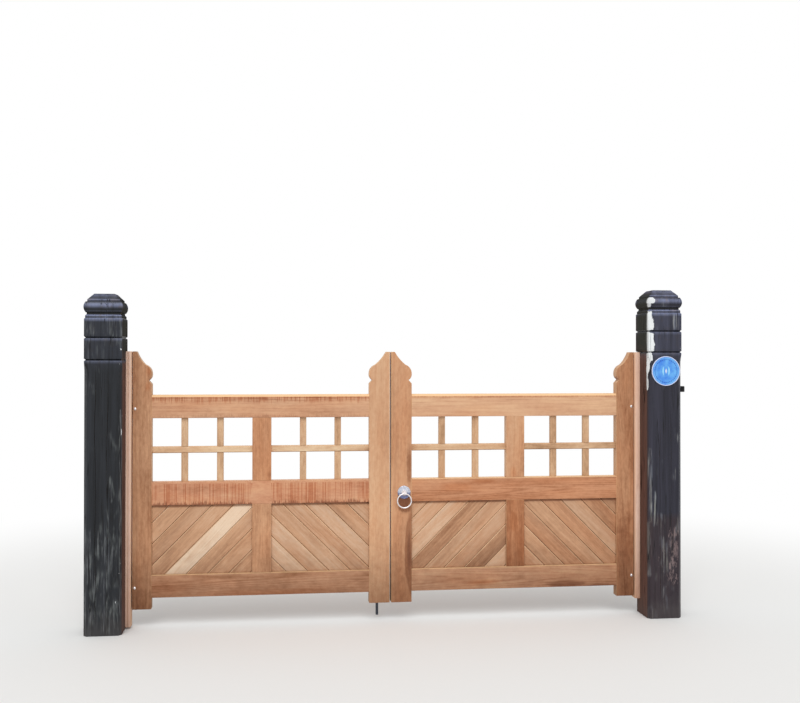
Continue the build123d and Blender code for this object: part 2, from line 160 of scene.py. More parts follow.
class Graph:
    """A node tree with one way to add any node."""

    def __init__(self, tree: bpy.types.NodeTree) -> None:
        """Work on an existing tree."""
        self.tree = tree

    def node(self, kind: str, settings: dict | None = None, inputs: dict | None = None) -> bpy.types.Node:
        """Add a node.

        Args:
            kind: the node's type.
            settings: its properties, set first; "stops" holds a ramp's places and colours.
            inputs: values or links of its sockets, by name or number.

        Returns:
            The node.
        """
        made = self.tree.nodes.new(kind)
        for key, value in (settings or {}).items():
            if key == "stops":
                self.set_stops(made.color_ramp, value)
            else:
                setattr(made, key, value)
        for key, value in (inputs or {}).items():
            self.plug(made.inputs[key], value)
        return made

    def value(
        self, kind: str, settings: dict | None = None, inputs: dict | None = None, output: Any = 0
    ) -> Val:
        """One output of a new node."""
        return Val(self, self.node(kind, settings, inputs).outputs[output])

    def plug(self, socket: bpy.types.NodeSocket, value: Any) -> None:
        """Fill an input socket.

        Args:
            socket: the input.
            value: a value or a node to link, or a plain value to set.
        """
        if isinstance(value, Val):
            self.tree.links.new(value.socket, socket)
        elif isinstance(value, bpy.types.Node):
            self.tree.links.new(value.outputs[0], socket)
        else:
            socket.default_value = value

    @staticmethod
    def set_stops(ramp: bpy.types.ColorRamp, stops: Sequence[tuple[float, Colour]]) -> None:
        """Set up a colour ramp.

        Args:
            ramp: the ramp.
            stops: its places and colours, from the lowest place up.
        """
        while len(ramp.elements) < len(stops):
            ramp.elements.new(1.0)
        for element, stop in zip(ramp.elements, stops):
            element.position, element.color = stop

    def split(self, vector: Any) -> list[Val]:
        """The three parts of a vector."""
        made = self.node("ShaderNodeSeparateXYZ", None, {0: vector})
        return [Val(self, socket) for socket in made.outputs]

    def join(self, x: Any, y: Any, z: Any) -> Val:
        """A vector from three parts."""
        return self.value("ShaderNodeCombineXYZ", None, {0: x, 1: y, 2: z})


class Surface(Graph):
    """The node tree of one material: its shader, the point on the object and the colour so far."""

    def __init__(self, name: str) -> None:
        """Start a material.

        Args:
            name: its name.
        """
        self.material = bpy.data.materials.new(name)
        self.material.use_nodes = True
        super().__init__(self.material.node_tree)
        self.tree.nodes.clear()
        self.shader = self.node("ShaderNodeBsdfPrincipled")
        self.end = self.node("ShaderNodeOutputMaterial", None, {0: self.shader})
        self.here = self.value("ShaderNodeTexCoord", output="Object")
        self.colour: Any = WHITE

    def mark(self, name: str) -> Val:
        """A vector attribute of the mesh."""
        return self.value("ShaderNodeAttribute", {"attribute_name": name}, output="Vector")

    def cloud(
        self, vector: Any, scale: Any, shift: Triple = ORIGIN, detail: float = 1.0, rough: float = 0.5
    ) -> Val:
        """Smooth noise.

        Args:
            vector: where it is read.
            scale: how fine it is, as one number or one along each axis.
            shift: added to the scaled place.
            detail: how many finer layers it has.
            rough: how strong these are.

        Returns:
            Values about 0.5.
        """
        scales = scale if isinstance(scale, tuple) else (scale,) * 3
        terms = {0: vector, 1: scales, 2: shift}
        place = self.value("ShaderNodeVectorMath", {"operation": "MULTIPLY_ADD"}, terms)
        inputs = {"Vector": place, "Scale": 1.0, "Detail": detail, "Roughness": rough}
        return self.value("ShaderNodeTexNoise", None, inputs)

    def cells(self, scale: float, output: str, feature: str = "F1") -> Val:
        """Cell noise over the object: the distance to the nearest cell's point, or its colour."""
        inputs = {"Vector": self.here, "Scale": scale}
        return self.value("ShaderNodeTexVoronoi", {"feature": feature}, inputs, output)

    def rise(self, value: Any, low: Any, high: Any) -> Val:
        """0 below low, 1 above high and smooth between them."""
        settings = {"interpolation_type": "SMOOTHSTEP"}
        return self.value("ShaderNodeMapRange", settings, {0: value, 1: low, 2: high, 3: 0.0, 4: 1.0})

    def fall(self, value: Any, low: Any, high: Any) -> Val:
        """1 below low, 0 above high and smooth between them."""
        return 1.0 - self.rise(value, low, high)

    def mix(self, share: Any, first: Any, second: Any, way: str = "MIX") -> Val:
        """Two colours mixed by the second one's share, in a blend type."""
        settings = {"data_type": "RGBA", "blend_type": way, "clamp_factor": True}
        return self.value("ShaderNodeMix", settings, {0: share, 6: first, 7: second}, 2)

    def coat(self, share: Any, colour: Any) -> None:
        """Lay a share of a colour over the one so far."""
        self.colour = self.mix(share, self.colour, colour)

    def darken(self, share: Any, colour: Any) -> None:
        """Darken the colour so far by a share of another."""
        self.colour = self.mix(share, self.colour, colour, "MULTIPLY")

    def relief(self, height: Any, depth: float, strength: float, under: Any = None) -> Val:
        """A surface tilted by a height.

        Args:
            height: the height, from 0 to 1.
            depth: what 1 stands for, in metres.
            strength: how much of it shows.
            under: a normal that it adds to.

        Returns:
            The normal.
        """
        inputs = {"Height": height, "Distance": depth, "Strength": strength}
        if under is not None:
            inputs["Normal"] = under
        return self.value("ShaderNodeBump", None, inputs)

    def finish(self, **inputs: Any) -> bpy.types.Material:
        """Set the shader's sockets, the colour so far among them.

        Args:
            inputs: values or links by socket name, with _ for a space.

        Returns:
            The material.
        """
        for key, value in {"Base_Color": self.colour, **inputs}.items():
            self.plug(self.shader.inputs[key.replace("_", " ")], value)
        return self.material


def screen(*parts: int) -> Colour:
    """Shader colour of a screen colour.

    Args:
        parts: red, green and blue from 0 to 255.

    Returns:
        The colour without the screen's curve.
    """
    shares = (part / 255.0 for part in parts)
    return (*(s / 12.92 if s <= 0.04045 else ((s + 0.055) / 1.055) ** 2.4 for s in shares), 1.0)


# Finishes


@dataclass(frozen=True)
class Finish:
    """What every finish has: its material's name and the name of the slot it belongs to."""

    name: str
    slot: str


@dataclass(frozen=True)
class TimberFinish(Finish):
    """Oiled softwood with growth rings, fibres and drip marks, darker towards the bottom, with
    painted highlights on arrises, tops and sides and painted shade on faces that look down.

    The mesh carries four vectors: "grain" is the place along, across and into the log
    in metres, "look" is tone, redness and how much water staining and painted shade darken
    it, "edge" is the distance below the piece's top, above its bottom and how far drips
    run, and "lean" is which way each face looks, from which the highlights and shade come.
    """

    dark: Colour = screen(98, 60, 36)
    deep: Colour = screen(148, 98, 64)
    main: Colour = screen(200, 149, 110)
    pale: Colour = screen(238, 202, 160)
    bleached_and_lit: Colour = screen(222, 180, 138)
    ruddy: Colour = (0.92, 0.70, 0.56, 1.0)
    drip: Colour = (0.76, 0.55, 0.45, 1.0)
    soaked: Colour = (0.36, 0.24, 0.20, 1.0)
    dull: Colour = (0.86, 0.88, 0.92, 1.0)
    damp_and_shade: Colour = (0.48, 0.36, 0.30, 1.0)
    grimy_and_shaded: Colour = (0.64, 0.585, 0.60, 1.0)
    low_darkening: Colour = (0.47, 0.415, 0.38, 1.0)
    low_darkening_top: float = 0.56
    ring_pitch: float = 0.0052
    ring_depth: float = 0.08
    streaks: float = 0.24
    fibres: float = 0.18
    clouds: float = 0.36
    mottling: float = 0.26
    dulled: float = 0.25
    worn_and_lit_arris: float = 0.45
    underside_shade: float = 0.55
    lit_crest: float = 0.0
    roughness: float = 0.50

    def material(self) -> bpy.types.Material:
        """Build the material.

        Returns:
            The material.
        """
        s = Surface(self.name)
        grain = s.mark("grain")
        tone, redness, dampness_and_shade = s.split(s.mark("look"))
        cloud = s.cloud(grain, (2.6, 12.0, 12.0), detail=2.0) - 0.5
        fibre, late, pores = self.lay_wood(s, grain, tone, cloud)
        patch = s.cloud(grain, (3.1, 15.0, 15.0), (4.0, 0.0, 0.0)) - 0.5
        s.darken((redness + patch * 0.9).held(), self.ruddy)
        dull = s.rise(s.cloud(grain, (1.3, 10.0, 10.0), (2.0, 0.0, 6.0)), 0.48, 0.66)
        s.darken(dull * self.dulled, self.dull)
        self.weather(s, cloud)
        ragged = s.cloud(s.here, (16.0, 16.0, 22.0), detail=3.0, rough=0.6)
        # Darker towards the bottom, up to a ragged height.
        low_share = s.fall(s.split(s.here)[Z] + (ragged - 0.5) * 0.26, 0.02, self.low_darkening_top)
        s.darken(low_share, self.low_darkening)
        # Darkening from the look vector: water staining, and painted shade at the panels' edges, under the
        # rails, at the tops of the bars and about the latch ring.
        wet_and_shaded = s.rise(dampness_and_shade + (ragged - 0.5) * 0.7, 0.30, 0.80)
        s.darken(wet_and_shaded * 0.8, self.damp_and_shade)
        s.darken(s.rise(dampness_and_shade, 1.0, 1.7), self.grimy_and_shaded)
        rough = self.roughness + fibre * 0.22 + late * 0.05 - wet_and_shaded * 0.12 + low_share * 0.12
        height = 0.5 + fibre * 0.7 + late * 0.25 - pores * 0.5
        normal = s.relief(height, 0.00035, 0.55)
        return s.finish(Roughness=rough.held(), Normal=normal, Specular_IOR_Level=0.2)

    def lay_wood(self, s: Surface, grain: Val, tone: Val, cloud: Val) -> tuple[Val, Val, Val]:
        """Colour the sound wood.

        Args:
            s: the surface.
            grain: the place in the log.
            tone: how light the piece is.
            cloud: broad patches over it.

        Returns:
            Its fibres, late wood and pores.
        """
        along, across, deep = s.split(grain)
        side = across + (s.cloud(grain, (1.7, 6.0, 6.0)) - 0.5) * 0.030
        inward = deep + (s.cloud(grain, (1.2, 5.0, 5.0), (9.0, 0.0, 0.0)) - 0.5) * 0.024
        log = s.join(along, side, inward)
        radius = (side * side + inward * inward) ** 0.5
        uneven = s.cloud(s.join(radius, along, 0.0), (120.0, 0.4, 1.0))
        rings = (radius * (2 * math.pi / self.ring_pitch) + uneven * 5.0).sine() * 0.5 + 0.5
        late = rings ** 3.0
        streak = s.cloud(log, (1.9, 85.0, 85.0), detail=2.0) - 0.5
        fibre = s.cloud(log, (11.0, 520.0, 520.0), detail=3.0, rough=0.6) - 0.5
        pores = s.rise(s.cloud(log, (60.0, 1500.0, 1500.0)), 0.62, 0.74)
        mottle = s.cloud(grain, (26.0, 64.0, 64.0), detail=3.0, rough=0.65) - 0.5
        level = 0.54 + tone * 0.5 + cloud * self.clouds + streak * self.streaks + mottle * self.mottling
        level = level + fibre * self.fibres - late * self.ring_depth - pores * 0.08
        stops = [(0.0, self.dark), (0.26, self.deep), (0.54, self.main), (1.0, self.pale)]
        s.colour = s.value("ShaderNodeValToRGB", {"stops": stops}, {0: level})
        return fibre, late, pores

    def weather(self, s: Surface, cloud: Val) -> None:
        """Lighten arrises, tops and sides, partly as weathering and partly as painted highlights, paint shade
        on faces that look down, and darken where water drips.

        Args:
            s: the surface.
            cloud: broad patches over it.
        """
        below, above, runs = s.split(s.mark("edge"))
        sideways, outward, skyward = s.split(s.mark("lean"))
        # Arrises and faces that look up are paler: partly weathering, partly a painted highlight where light
        # falls on them.
        eased = s.rise(outward.size(), 0.15, 0.40) * s.fall(outward.size(), 0.90, 0.98)
        worn = (eased * s.rise(skyward, -0.20, 0.0)).most(s.rise(skyward, 0.25, 0.70))
        s.coat(worn * (self.worn_and_lit_arris + cloud * 0.8), self.bleached_and_lit)
        # Painted light: faces that look sideways, such as the walls of the gap between the leaves, are made
        # paler.
        s.coat(s.rise(sideways.size(), 0.85, 0.97) * 0.4, self.bleached_and_lit)
        # Painted shade: faces that look down are darkened.
        s.darken(s.rise(-skyward, 0.3, 0.7) * self.underside_shade, self.damp_and_shade)
        # Painted highlight: a pale line along the top edge of pieces that have no drips.
        s.coat(s.fall(below, 0.0025, 0.0065) * self.lit_crest * s.fall(runs, 0.001, 0.002), self.bleached_and_lit)

        weathered = s.rise(runs, 0.003, 0.01)
        capped = weathered * s.fall(runs, 0.08, 0.10)
        broad = s.cloud(s.here, (17.0, 0.0, 0.0), (0.0, 2.0, 0.0)) - 0.5
        comb = s.cloud(s.here, (150.0, 20.0, 1.2)) + broad * 0.5
        length = runs * (s.cloud(s.here, (62.0, 9.0, 0.0), (5.0, 0.0, 0.0), 2.0) * 1.8 + 0.1)
        running = s.rise(comb, 0.48, 0.56) * s.rise(below, 0.010, 0.014) * weathered
        running = running * s.fall(below, length * 0.55 + 0.010, length + 0.016)
        spikes = s.cloud(s.here, (185.0, 9.0, 0.0), (50.0, 0.0, 3.0))
        hem = s.cloud(s.here, (38.0, 9.0, 0.0), (9.0, 0.0, 3.0), 2.0) * 0.5 + spikes
        hanging = s.fall(above, (hem - 0.66) * 0.05, (hem - 0.58) * 0.07 + 0.003)
        hanging = hanging * s.rise(runs, 0.01, 0.08) * s.rise(-outward, 0.3, 0.6)
        crown = s.rise(below, 0.0115, 0.0130) * s.fall(below, hem * 0.008 + 0.012, hem * 0.020 + 0.013)
        s.darken(running * 0.80, self.drip)
        s.darken(crown * capped * 0.6, self.drip)
        s.darken(hanging * 0.7, self.soaked)
        # The sloped top of a weathered top rail is paler, partly bleached and partly a painted highlight.
        s.coat(s.fall(below, 0.0115, 0.0135) * capped * 0.5, self.bleached_and_lit)


@dataclass(frozen=True)
class PostPaint(Finish):
    """Old gloss paint on a timber post, cracked along the grain and worn through.

    The mesh carries two vectors, each part from 0 to 1: "wear" is flaked to the pale coat
    beneath, worn to grey wood and stained brown; "aspect" is painted shade, rubbed in lines
    and painted highlight.
    """

    gloss: Colour = screen(21, 23, 26)
    sheen: Colour = screen(43, 46, 52)
    undercoat: Colour = screen(242, 246, 247)
    undercoat_dim: Colour = screen(196, 198, 200)
    bare: Colour = screen(158, 138, 136)
    bare_dark: Colour = screen(78, 64, 66)
    brown: Colour = screen(58, 40, 37)
    shade_tone: Colour = screen(12, 12, 14)
    chalk: Colour = screen(132, 140, 172)
    highlight_warm: Colour = screen(146, 142, 158)
    rubbed: Colour = screen(128, 130, 134)
    blotched: Colour = screen(88, 92, 92)
    furrow: Colour = screen(14, 14, 17)
    gap: Colour = screen(10, 10, 12)
    dust: Colour = screen(84, 80, 78)
    line_pitch: float = 125.0
    line_share: float = 0.45
    specular: float = 0.25
    roughness: float = 0.30

    def material(self) -> bpy.types.Material:
        """Build the material.

        Returns:
            The material.
        """
        s = Surface(self.name)
        pitch = self.line_pitch
        flaked, worn, browned = s.split(s.mark("wear"))
        shaded, scuffed, highlighted = s.split(s.mark("aspect"))
        fibre = s.cloud(s.here, (190.0, 190.0, 6.0), detail=3.0, rough=0.6) - 0.5
        swell = s.cloud(s.here, (34.0, 34.0, 1.7), detail=2.0) - 0.5
        brush = s.cloud(s.here, (520.0, 520.0, 9.0)) - 0.5
        veins = s.cloud(s.here, (52.0, 52.0, 1.9), (3.0, 0.0, 0.0)) - 0.5
        parted = s.rise(s.cloud(s.here, (20.0, 20.0, 4.0), (0.0, 0.0, 7.0)), 0.42, 0.60)
        split = s.fall(veins.size(), 0.006, 0.028) * parted
        lines = s.cloud(s.here, (pitch, pitch, 5.0), (0.0, 5.0, 0.0), 3.0, 0.65) - 0.5
        patchy = s.cloud(s.here, (14.0, 14.0, 7.0), detail=2.0) + scuffed * 0.45
        patchy = s.rise(patchy, 0.60, 0.84)
        smear = s.rise(s.cloud(s.here, (58.0, 58.0, 10.0), (21.0, 0.0, 0.0), 3.0), 0.46, 0.66)
        dense = (scuffed - 0.8).most(0.0) * 2.2
        s.colour = s.mix((0.40 + swell * 1.5 + fibre * 0.5).held(), self.gloss, self.sheen)
        s.coat(smear * patchy * 0.8, self.blotched)
        s.coat(s.rise(-lines, 0.05, 0.16) * patchy * 0.6, self.furrow)
        s.coat((lines * 7.0 - 0.2 + dense).held() * patchy * self.line_share, self.rubbed)
        s.coat((browned * (0.9 + swell * 1.4)).held(), self.brown)

        # Painted highlight: pale bluish lines and gleams on the head's mouldings, such as the roll's
        # highlight and the lit arrises.
        highlit = (highlighted * (1.0 + swell * 1.2 + fibre * 0.7)).held()
        warmth = s.rise(s.cloud(s.here, (30.0, 30.0, 24.0), detail=2.0), 0.50, 0.72)
        s.coat(highlit, s.mix(warmth, self.chalk, self.highlight_warm))
        fleck = s.cloud(s.here, (84.0, 84.0, 26.0), (9.0, 0.0, 0.0), 5.0, 0.7) - 0.5
        naked = s.rise(worn + fleck * 1.6, 0.46, 0.60)
        s.coat(naked * 0.75, s.mix((0.45 + fibre * 2.4 + lines * 1.2).held(), self.bare_dark, self.bare))
        ragged = s.cloud(s.here, (42.0, 42.0, 13.0), detail=4.0, rough=0.62) - 0.5
        chipped = s.rise(flaked + ragged * 2.0, 0.50, 0.56)
        s.coat(chipped, s.mix((0.60 + fibre * 1.3 + swell).held(), self.undercoat_dim, self.undercoat))
        # Painted shade in the hollow under the roll, in the grooves and on faces in shade.
        s.coat(shaded * 0.92, self.shade_tone)
        s.coat(split * 0.85, self.gap)
        dusty = s.fall(s.split(s.here)[Z] + ragged * 0.25, 0.0, 0.16)
        s.coat(dusty * 0.3, self.dust)

        dull = (naked + chipped).least(1.0)
        rough = self.roughness + dull * 0.40 + highlit * 0.10 + swell * 0.25 + fibre * 0.15 + split * 0.3
        height = 0.6 + fibre * 0.30 + brush * 0.12 - split * 0.6 - dull * 0.35
        normal = s.relief(swell + 0.5, 0.010, 0.5, s.relief(height, 0.0016, 0.7))
        rough = (rough + dusty * 0.2).held()
        return s.finish(Roughness=rough, Normal=normal, Specular_IOR_Level=self.specular)


@dataclass(frozen=True)
class IronFinish(Finish):
    """Forged iron under thin dark paint, rubbed and rusting at places."""

    coat: Colour = screen(40, 41, 44)
    rubbed: Colour = screen(78, 78, 82)
    rust: Colour = screen(112, 62, 36)
    rust_share: float = 0.35
    roughness: float = 0.46

    def material(self) -> bpy.types.Material:
        """Build the material.

        Returns:
            The material.
        """
        s = Surface(self.name)
        hammer = s.cells(95.0, "Distance", "SMOOTH_F1")
        blotch = s.cloud(s.here, 34.0, detail=4.0, rough=0.6)
        grit = s.cloud(s.here, 420.0, detail=3.0, rough=0.6) - 0.5
        s.colour = s.mix((blotch * 1.6 - 0.5 + grit * 0.5).held(), self.coat, self.rubbed)
        spots = s.cloud(s.here, 58.0, detail=5.0, rough=0.66) + grit * 0.25
        rusty = s.rise(spots, 0.74 - self.rust_share * 0.3, 0.80)
        s.coat(rusty * 0.85, self.rust)
        rough = self.roughness + rusty * 0.35 + grit * 0.2 + (blotch - 0.5) * 0.2
        normal = s.relief(0.5 + hammer * 0.35 + grit * 0.15 + rusty * 0.2, 0.0009, 0.6)
        return s.finish(Metallic=(0.75 - rusty * 0.7).held(), Roughness=rough.held(), Normal=normal)


@dataclass(frozen=True)
class ZincFinish(Finish):
    """Galvanised steel with crystal patches, fine scratches and dull spots, and a painted dark reflection
    below a height.
    """

    bright: Colour = screen(226, 229, 236)
    dull: Colour = screen(146, 152, 168)
    roughness: float = 0.30
    dark_reflection: Colour = screen(62, 68, 86)
    dark_reflection_below: float = -1.0

    def material(self) -> bpy.types.Material:
        """Build the material.

        Returns:
            The material.
        """
        s = Surface(self.name)
        flake = s.value("ShaderNodeSeparateColor", None, {0: s.cells(260.0, "Color")})
        film = s.cloud(s.here, 70.0, detail=4.0, rough=0.6)
        scratch = s.cloud(s.here, (900.0, 140.0, 900.0), detail=2.0)
        s.colour = s.mix((flake * 0.5 + film * 0.9 - 0.2).held(), self.bright, self.dull)
        # Painted reflection: below a height the metal is darker and bluer, as if it reflected dark ground.
        above = s.split(s.here)[Z] + (film - 0.5) * 0.02 - self.dark_reflection_below
        s.coat(s.fall(above, -0.008, 0.006) * 0.85, self.dark_reflection)
        rough = self.roughness + flake * 0.10 + (film - 0.5) * 0.3 + (scratch - 0.5) * 0.12
        normal = s.relief(scratch * 0.5 + flake * 0.5, 0.00012, 0.5)
        return s.finish(Metallic=0.92, Roughness=rough.held(), Normal=normal)


@dataclass(frozen=True)
class EnamelFinish(Finish):
    """Smooth enamel that has lost a little shine."""

    fresh: Colour = WHITE
    faded: Colour = WHITE
    patches: float = 1.2
    roughness: float = 0.24
    dirt: Colour = screen(70, 72, 84)

    def material(self) -> bpy.types.Material:
        """Build the material.

        Returns:
            The material.
        """
        s = Surface(self.name)
        film = s.cloud(s.here, 26.0, detail=3.0, rough=0.55)
        speck = s.cloud(s.here, 380.0, detail=2.0) - 0.5
        dirty = s.rise(s.cloud(s.here, 120.0, detail=3.0, rough=0.6), 0.62, 0.74)
        share = (film - 0.5) * (self.patches * 1.6) + 0.5
        s.colour = s.mix((share + speck * 0.3).held(), self.fresh, self.faded)
        s.coat(dirty * 0.22, self.dirt)
        rough = (self.roughness + film * 0.12 + dirty * 0.3 + speck * 0.1).held()
        return s.finish(Roughness=rough, Normal=s.relief(film * 0.8 + speck * 0.2, 0.0006, 0.35))


STILE_TIMBER = TimberFinish(
    "stile_timber",
    "stile_timber",
    deep=screen(148, 101, 70),
    main=screen(200, 152, 116),
    pale=screen(238, 204, 165),
    bleached_and_lit=screen(230, 190, 146),
    ring_pitch=0.0060,
    ring_depth=0.05,
    streaks=0.15,
    mottling=0.32,
)
RAIL_TIMBER = TimberFinish(
    "rail_timber",
    "rail_timber",
    main=screen(202, 154, 121),
    bleached_and_lit=screen(236, 196, 150),
    ring_pitch=0.0058,
    ring_depth=0.10,
    streaks=0.30,
    lit_crest=0.5,
    worn_and_lit_arris=0.8,
)
DRIPPED_TIMBER = TimberFinish(
    "dripped_rail_timber",
    "rail_timber",
    main=screen(202, 150, 118),
    ring_depth=0.02,
    streaks=0.10,
    fibres=0.10,
    mottling=0.36,
)
BOARD_TIMBER = TimberFinish(
    "board_timber",
    "board_timber",
    deep=screen(150, 107, 78),
    main=screen(198, 154, 120),
    pale=screen(228, 204, 178),
    bleached_and_lit=screen(226, 188, 150),
    clouds=0.42,
    streaks=0.28,
    worn_and_lit_arris=0.85,
    underside_shade=0.95,
    dulled=0.6,
)
LATTICE_TIMBER = TimberFinish(
    "lattice_timber",
    "rail_timber",
    deep=screen(150, 112, 80),
    main=screen(201, 162, 127),
    pale=screen(238, 214, 178),
    clouds=0.9,
    mottling=0.45,
    worn_and_lit_arris=0.35,
)
BATTEN_TIMBER = TimberFinish(
    "pale_batten_timber",
    "pale_batten_timber",
    deep=screen(204, 166, 144),
    main=screen(242, 211, 193),
    pale=screen(253, 236, 222),
    low_darkening=(0.74, 0.68, 0.64, 1.0),
    low_darkening_top=0.7,
)
POST_PAINT = PostPaint("painted_post_timber", "painted_post_timber")
BLUER_PAINT = PostPaint(
    "bluer_post_timber",
    "painted_post_timber",
    gloss=screen(34, 34, 43),
    sheen=screen(58, 57, 70),
    rubbed=screen(160, 160, 154),
    blotched=screen(96, 100, 110),
    line_pitch=165.0,
    line_share=0.62,
)
# Copy of the post paint for the faces that look into the gateway, without reflection and in duller brown
# colours: partly the real browned paint, partly painted shade.
SHADED_FLANK_PAINT = PostPaint(
    "painted_post_shaded_flank",
    "painted_post_timber",
    gloss=screen(62, 54, 50),
    sheen=screen(84, 72, 66),
    brown=screen(108, 82, 74),
    shade_tone=screen(60, 61, 56),
    specular=0.0,
    roughness=0.8,
)
HINGE_IRON = IronFinish("hinge_iron", "hinge_iron", rust_share=0.45)
BOLT_IRON = IronFinish("bolt_iron", "bolt_iron", screen(58, 61, 68), screen(92, 95, 102), rust_share=0.2)
BLACK_IRON = IronFinish("black_iron", "bolt_iron", screen(20, 20, 22), screen(42, 42, 46), rust_share=0.25)
ZINC = ZincFinish("galvanised_steel", "galvanised_steel")
BRIGHT_ZINC = ZincFinish(
    "bright_zinc",
    "galvanised_steel",
    screen(252, 250, 248),
    screen(206, 196, 200),
    roughness=0.36,
)
# The rose's lower part has a painted dark reflection.
ROSE_ZINC = ZincFinish(
    "rose_zinc",
    "galvanised_steel",
    screen(240, 242, 250),
    screen(150, 156, 178),
    dark_reflection=screen(92, 101, 146),
    dark_reflection_below=0.742,
)
BLUE_ENAMEL, DEEP_ENAMEL, PALE_ENAMEL, LIGHT_ENAMEL = (
    EnamelFinish(name, "plaque_enamel", screen(*fresh), screen(*faded), patches)
    for name, fresh, faded, patches in (
        ("plaque_enamel", (44, 118, 220), (104, 178, 238), 1.6),
        ("plaque_deep_enamel", (28, 74, 168), (54, 112, 196), 1.2),
        ("plaque_pale_enamel", (214, 222, 244), (190, 200, 232), 1.2),
        ("plaque_light_enamel", (156, 218, 246), (132, 202, 238), 1.2),
    )
)


# Mesh helpers


def arc(start: Pair, middle: Pair, end: Pair, steps: int) -> list[Pair]:
    """Points of the arc through three points.

    Args:
        start: where it begins.
        middle: a point that it passes.
        end: where it ends.
        steps: how many chords stand for it.

    Returns:
        The points after start, the end among them.
    """
    (ax, ay), (bx, by), (cx, cy) = start, middle, end
    d = 2 * (ax * (by - cy) + bx * (cy - ay) + cx * (ay - by))
    a2, b2, c2 = ax * ax + ay * ay, bx * bx + by * by, cx * cx + cy * cy
    ox = (a2 * (by - cy) + b2 * (cy - ay) + c2 * (ay - by)) / d
    oy = (a2 * (cx - bx) + b2 * (ax - cx) + c2 * (bx - ax)) / d
    radius = math.hypot(ax - ox, ay - oy)
    first = math.atan2(ay - oy, ax - ox)
    half = math.remainder(math.atan2(by - oy, bx - ox) - first, 2 * math.pi)
    turn = half + math.remainder(math.atan2(cy - oy, cx - ox) - first - half, 2 * math.pi)
    angles = [first + turn * i / steps for i in range(1, steps + 1)]
    return [(ox + radius * math.cos(a), oy + radius * math.sin(a)) for a in angles]


def bowed(start: Pair, end: Pair, sag: float, steps: int) -> list[Pair]:
    """Points of an arc between two points.

    Args:
        start: where it begins.
        end: where it ends.
        sag: how far it bows to the right of the way there.
        steps: how many chords stand for it.

    Returns:
        The points after start, the end among them.
    """
    dx, dz = end[0] - start[0], end[1] - start[1]
    shift = sag / math.hypot(dx, dz)
    middle = ((start[0] + end[0]) / 2 + shift * dz, (start[1] + end[1]) / 2 - shift * dx)
    return arc(start, middle, end, steps)


def round_turns(count: int) -> list[float]:
    """Angles that divide a full turn."""
    return [2 * math.pi * i / count for i in range(count)]


def prism(outline: Sequence[Pair], low: float, high: float, axis: int = Z) -> Shape:
    """A closed solid drawn out of an outline along an axis.

    Args:
        outline: its corners in order, on the two other axes.
        low: where the drawing out begins.
        high: where it ends.
        axis: number of the axis.

    Returns:
        The mesh, faces outward.
    """
    bm = bmesh.new()
    ends = [[bm.verts.new((*c[:axis], depth, *c[axis:])) for c in outline] for depth in (low, high)]
    for ring in ends:
        bm.faces.new(ring)
    for corners in zip(ends[0], ends[0][1:] + ends[0][:1], ends[1][1:] + ends[1][:1], ends[1]):
        bm.faces.new(corners)
    bmesh.ops.recalc_face_normals(bm, faces=bm.faces[:])
    return bm


def box(x0: float, x1: float, y0: float, y1: float, z0: float, z1: float) -> Shape:
    """A squared block between two corners."""
    return prism([(x0, z0), (x1, z0), (x1, z1), (x0, z1)], y0, y1, Y)


def chamfer(bm: Shape, size: float, at: dict[int, float], along: int | None = None) -> None:
    """Plane off edges of a solid.

    Args:
        bm: the solid.
        size: how much they lose.
        at: where both ends of such an edge are, by axis.
        along: the axis that it has to run along, if any.
    """
    ends = [(edge, [v.co for v in edge.verts]) for edge in bm.edges]
    edges = [edge for edge, (a, b) in ends if along is None or abs(a[along] - b[along]) > 1.0]
    for axis, place in at.items():
        edges = [e for e in edges if all(abs(v.co[axis] - place) < 0.01 for v in e.verts)]
    bmesh.ops.bevel(bm, geom=edges, offset=size, segments=1, affect="EDGES", profile=0.5)


def soften(bm: Shape, radius: float, steps: int = 2, least: float = 32.0) -> Shape:
    """Round the arrises of a solid and shade the rounded strips smooth.

    Args:
        bm: the solid.
        radius: how much each arris loses.
        steps: strips over each arris.
        least: the smallest corner in degrees that counts as an arris.

    Returns:
        The same solid.
    """
    bm.normal_update()
    limit = math.radians(least)
    for face in bm.faces:
        face.smooth = any(0.01 < e.calc_face_angle(0.0) < limit for e in face.edges)
    arrises = [e for e in bm.edges if e.calc_face_angle(0.0) > limit]
    made = bmesh.ops.bevel(
        bm, geom=arrises, offset=radius, segments=steps, profile=0.5, affect="EDGES", clamp_overlap=True
    )
    for face in made["faces"]:
        face.smooth = True
    return bm


def cut_at(bm: Shape, point: Triple, normal: Triple, trim: bool = False) -> None:
    """Divide a mesh at a plane.

    Args:
        bm: the mesh.
        point: a point of the plane.
        normal: the direction square to it.
        trim: whether what lies beyond it goes and the cut is closed.
    """
    geom = bm.verts[:] + bm.edges[:] + bm.faces[:]
    made = bmesh.ops.bisect_plane(bm, geom=geom, plane_co=point, plane_no=normal, clear_outer=trim)
    rim = [e for e in made["geom_cut"] if trim and isinstance(e, bmesh.types.BMEdge) and e.is_boundary]
    if rim:
        bmesh.ops.holes_fill(bm, edges=rim, sides=0)


def sliced(bm: Shape, axis: int, places: Iterable[float]) -> None:
    """Divide a mesh square to an axis, so that marks can vary over it."""
    for place in places:
        cut_at(bm, tuple(place * (i == axis) for i in range(3)), (ALONG_X, ALONG_Y, ALONG_Z)[axis])


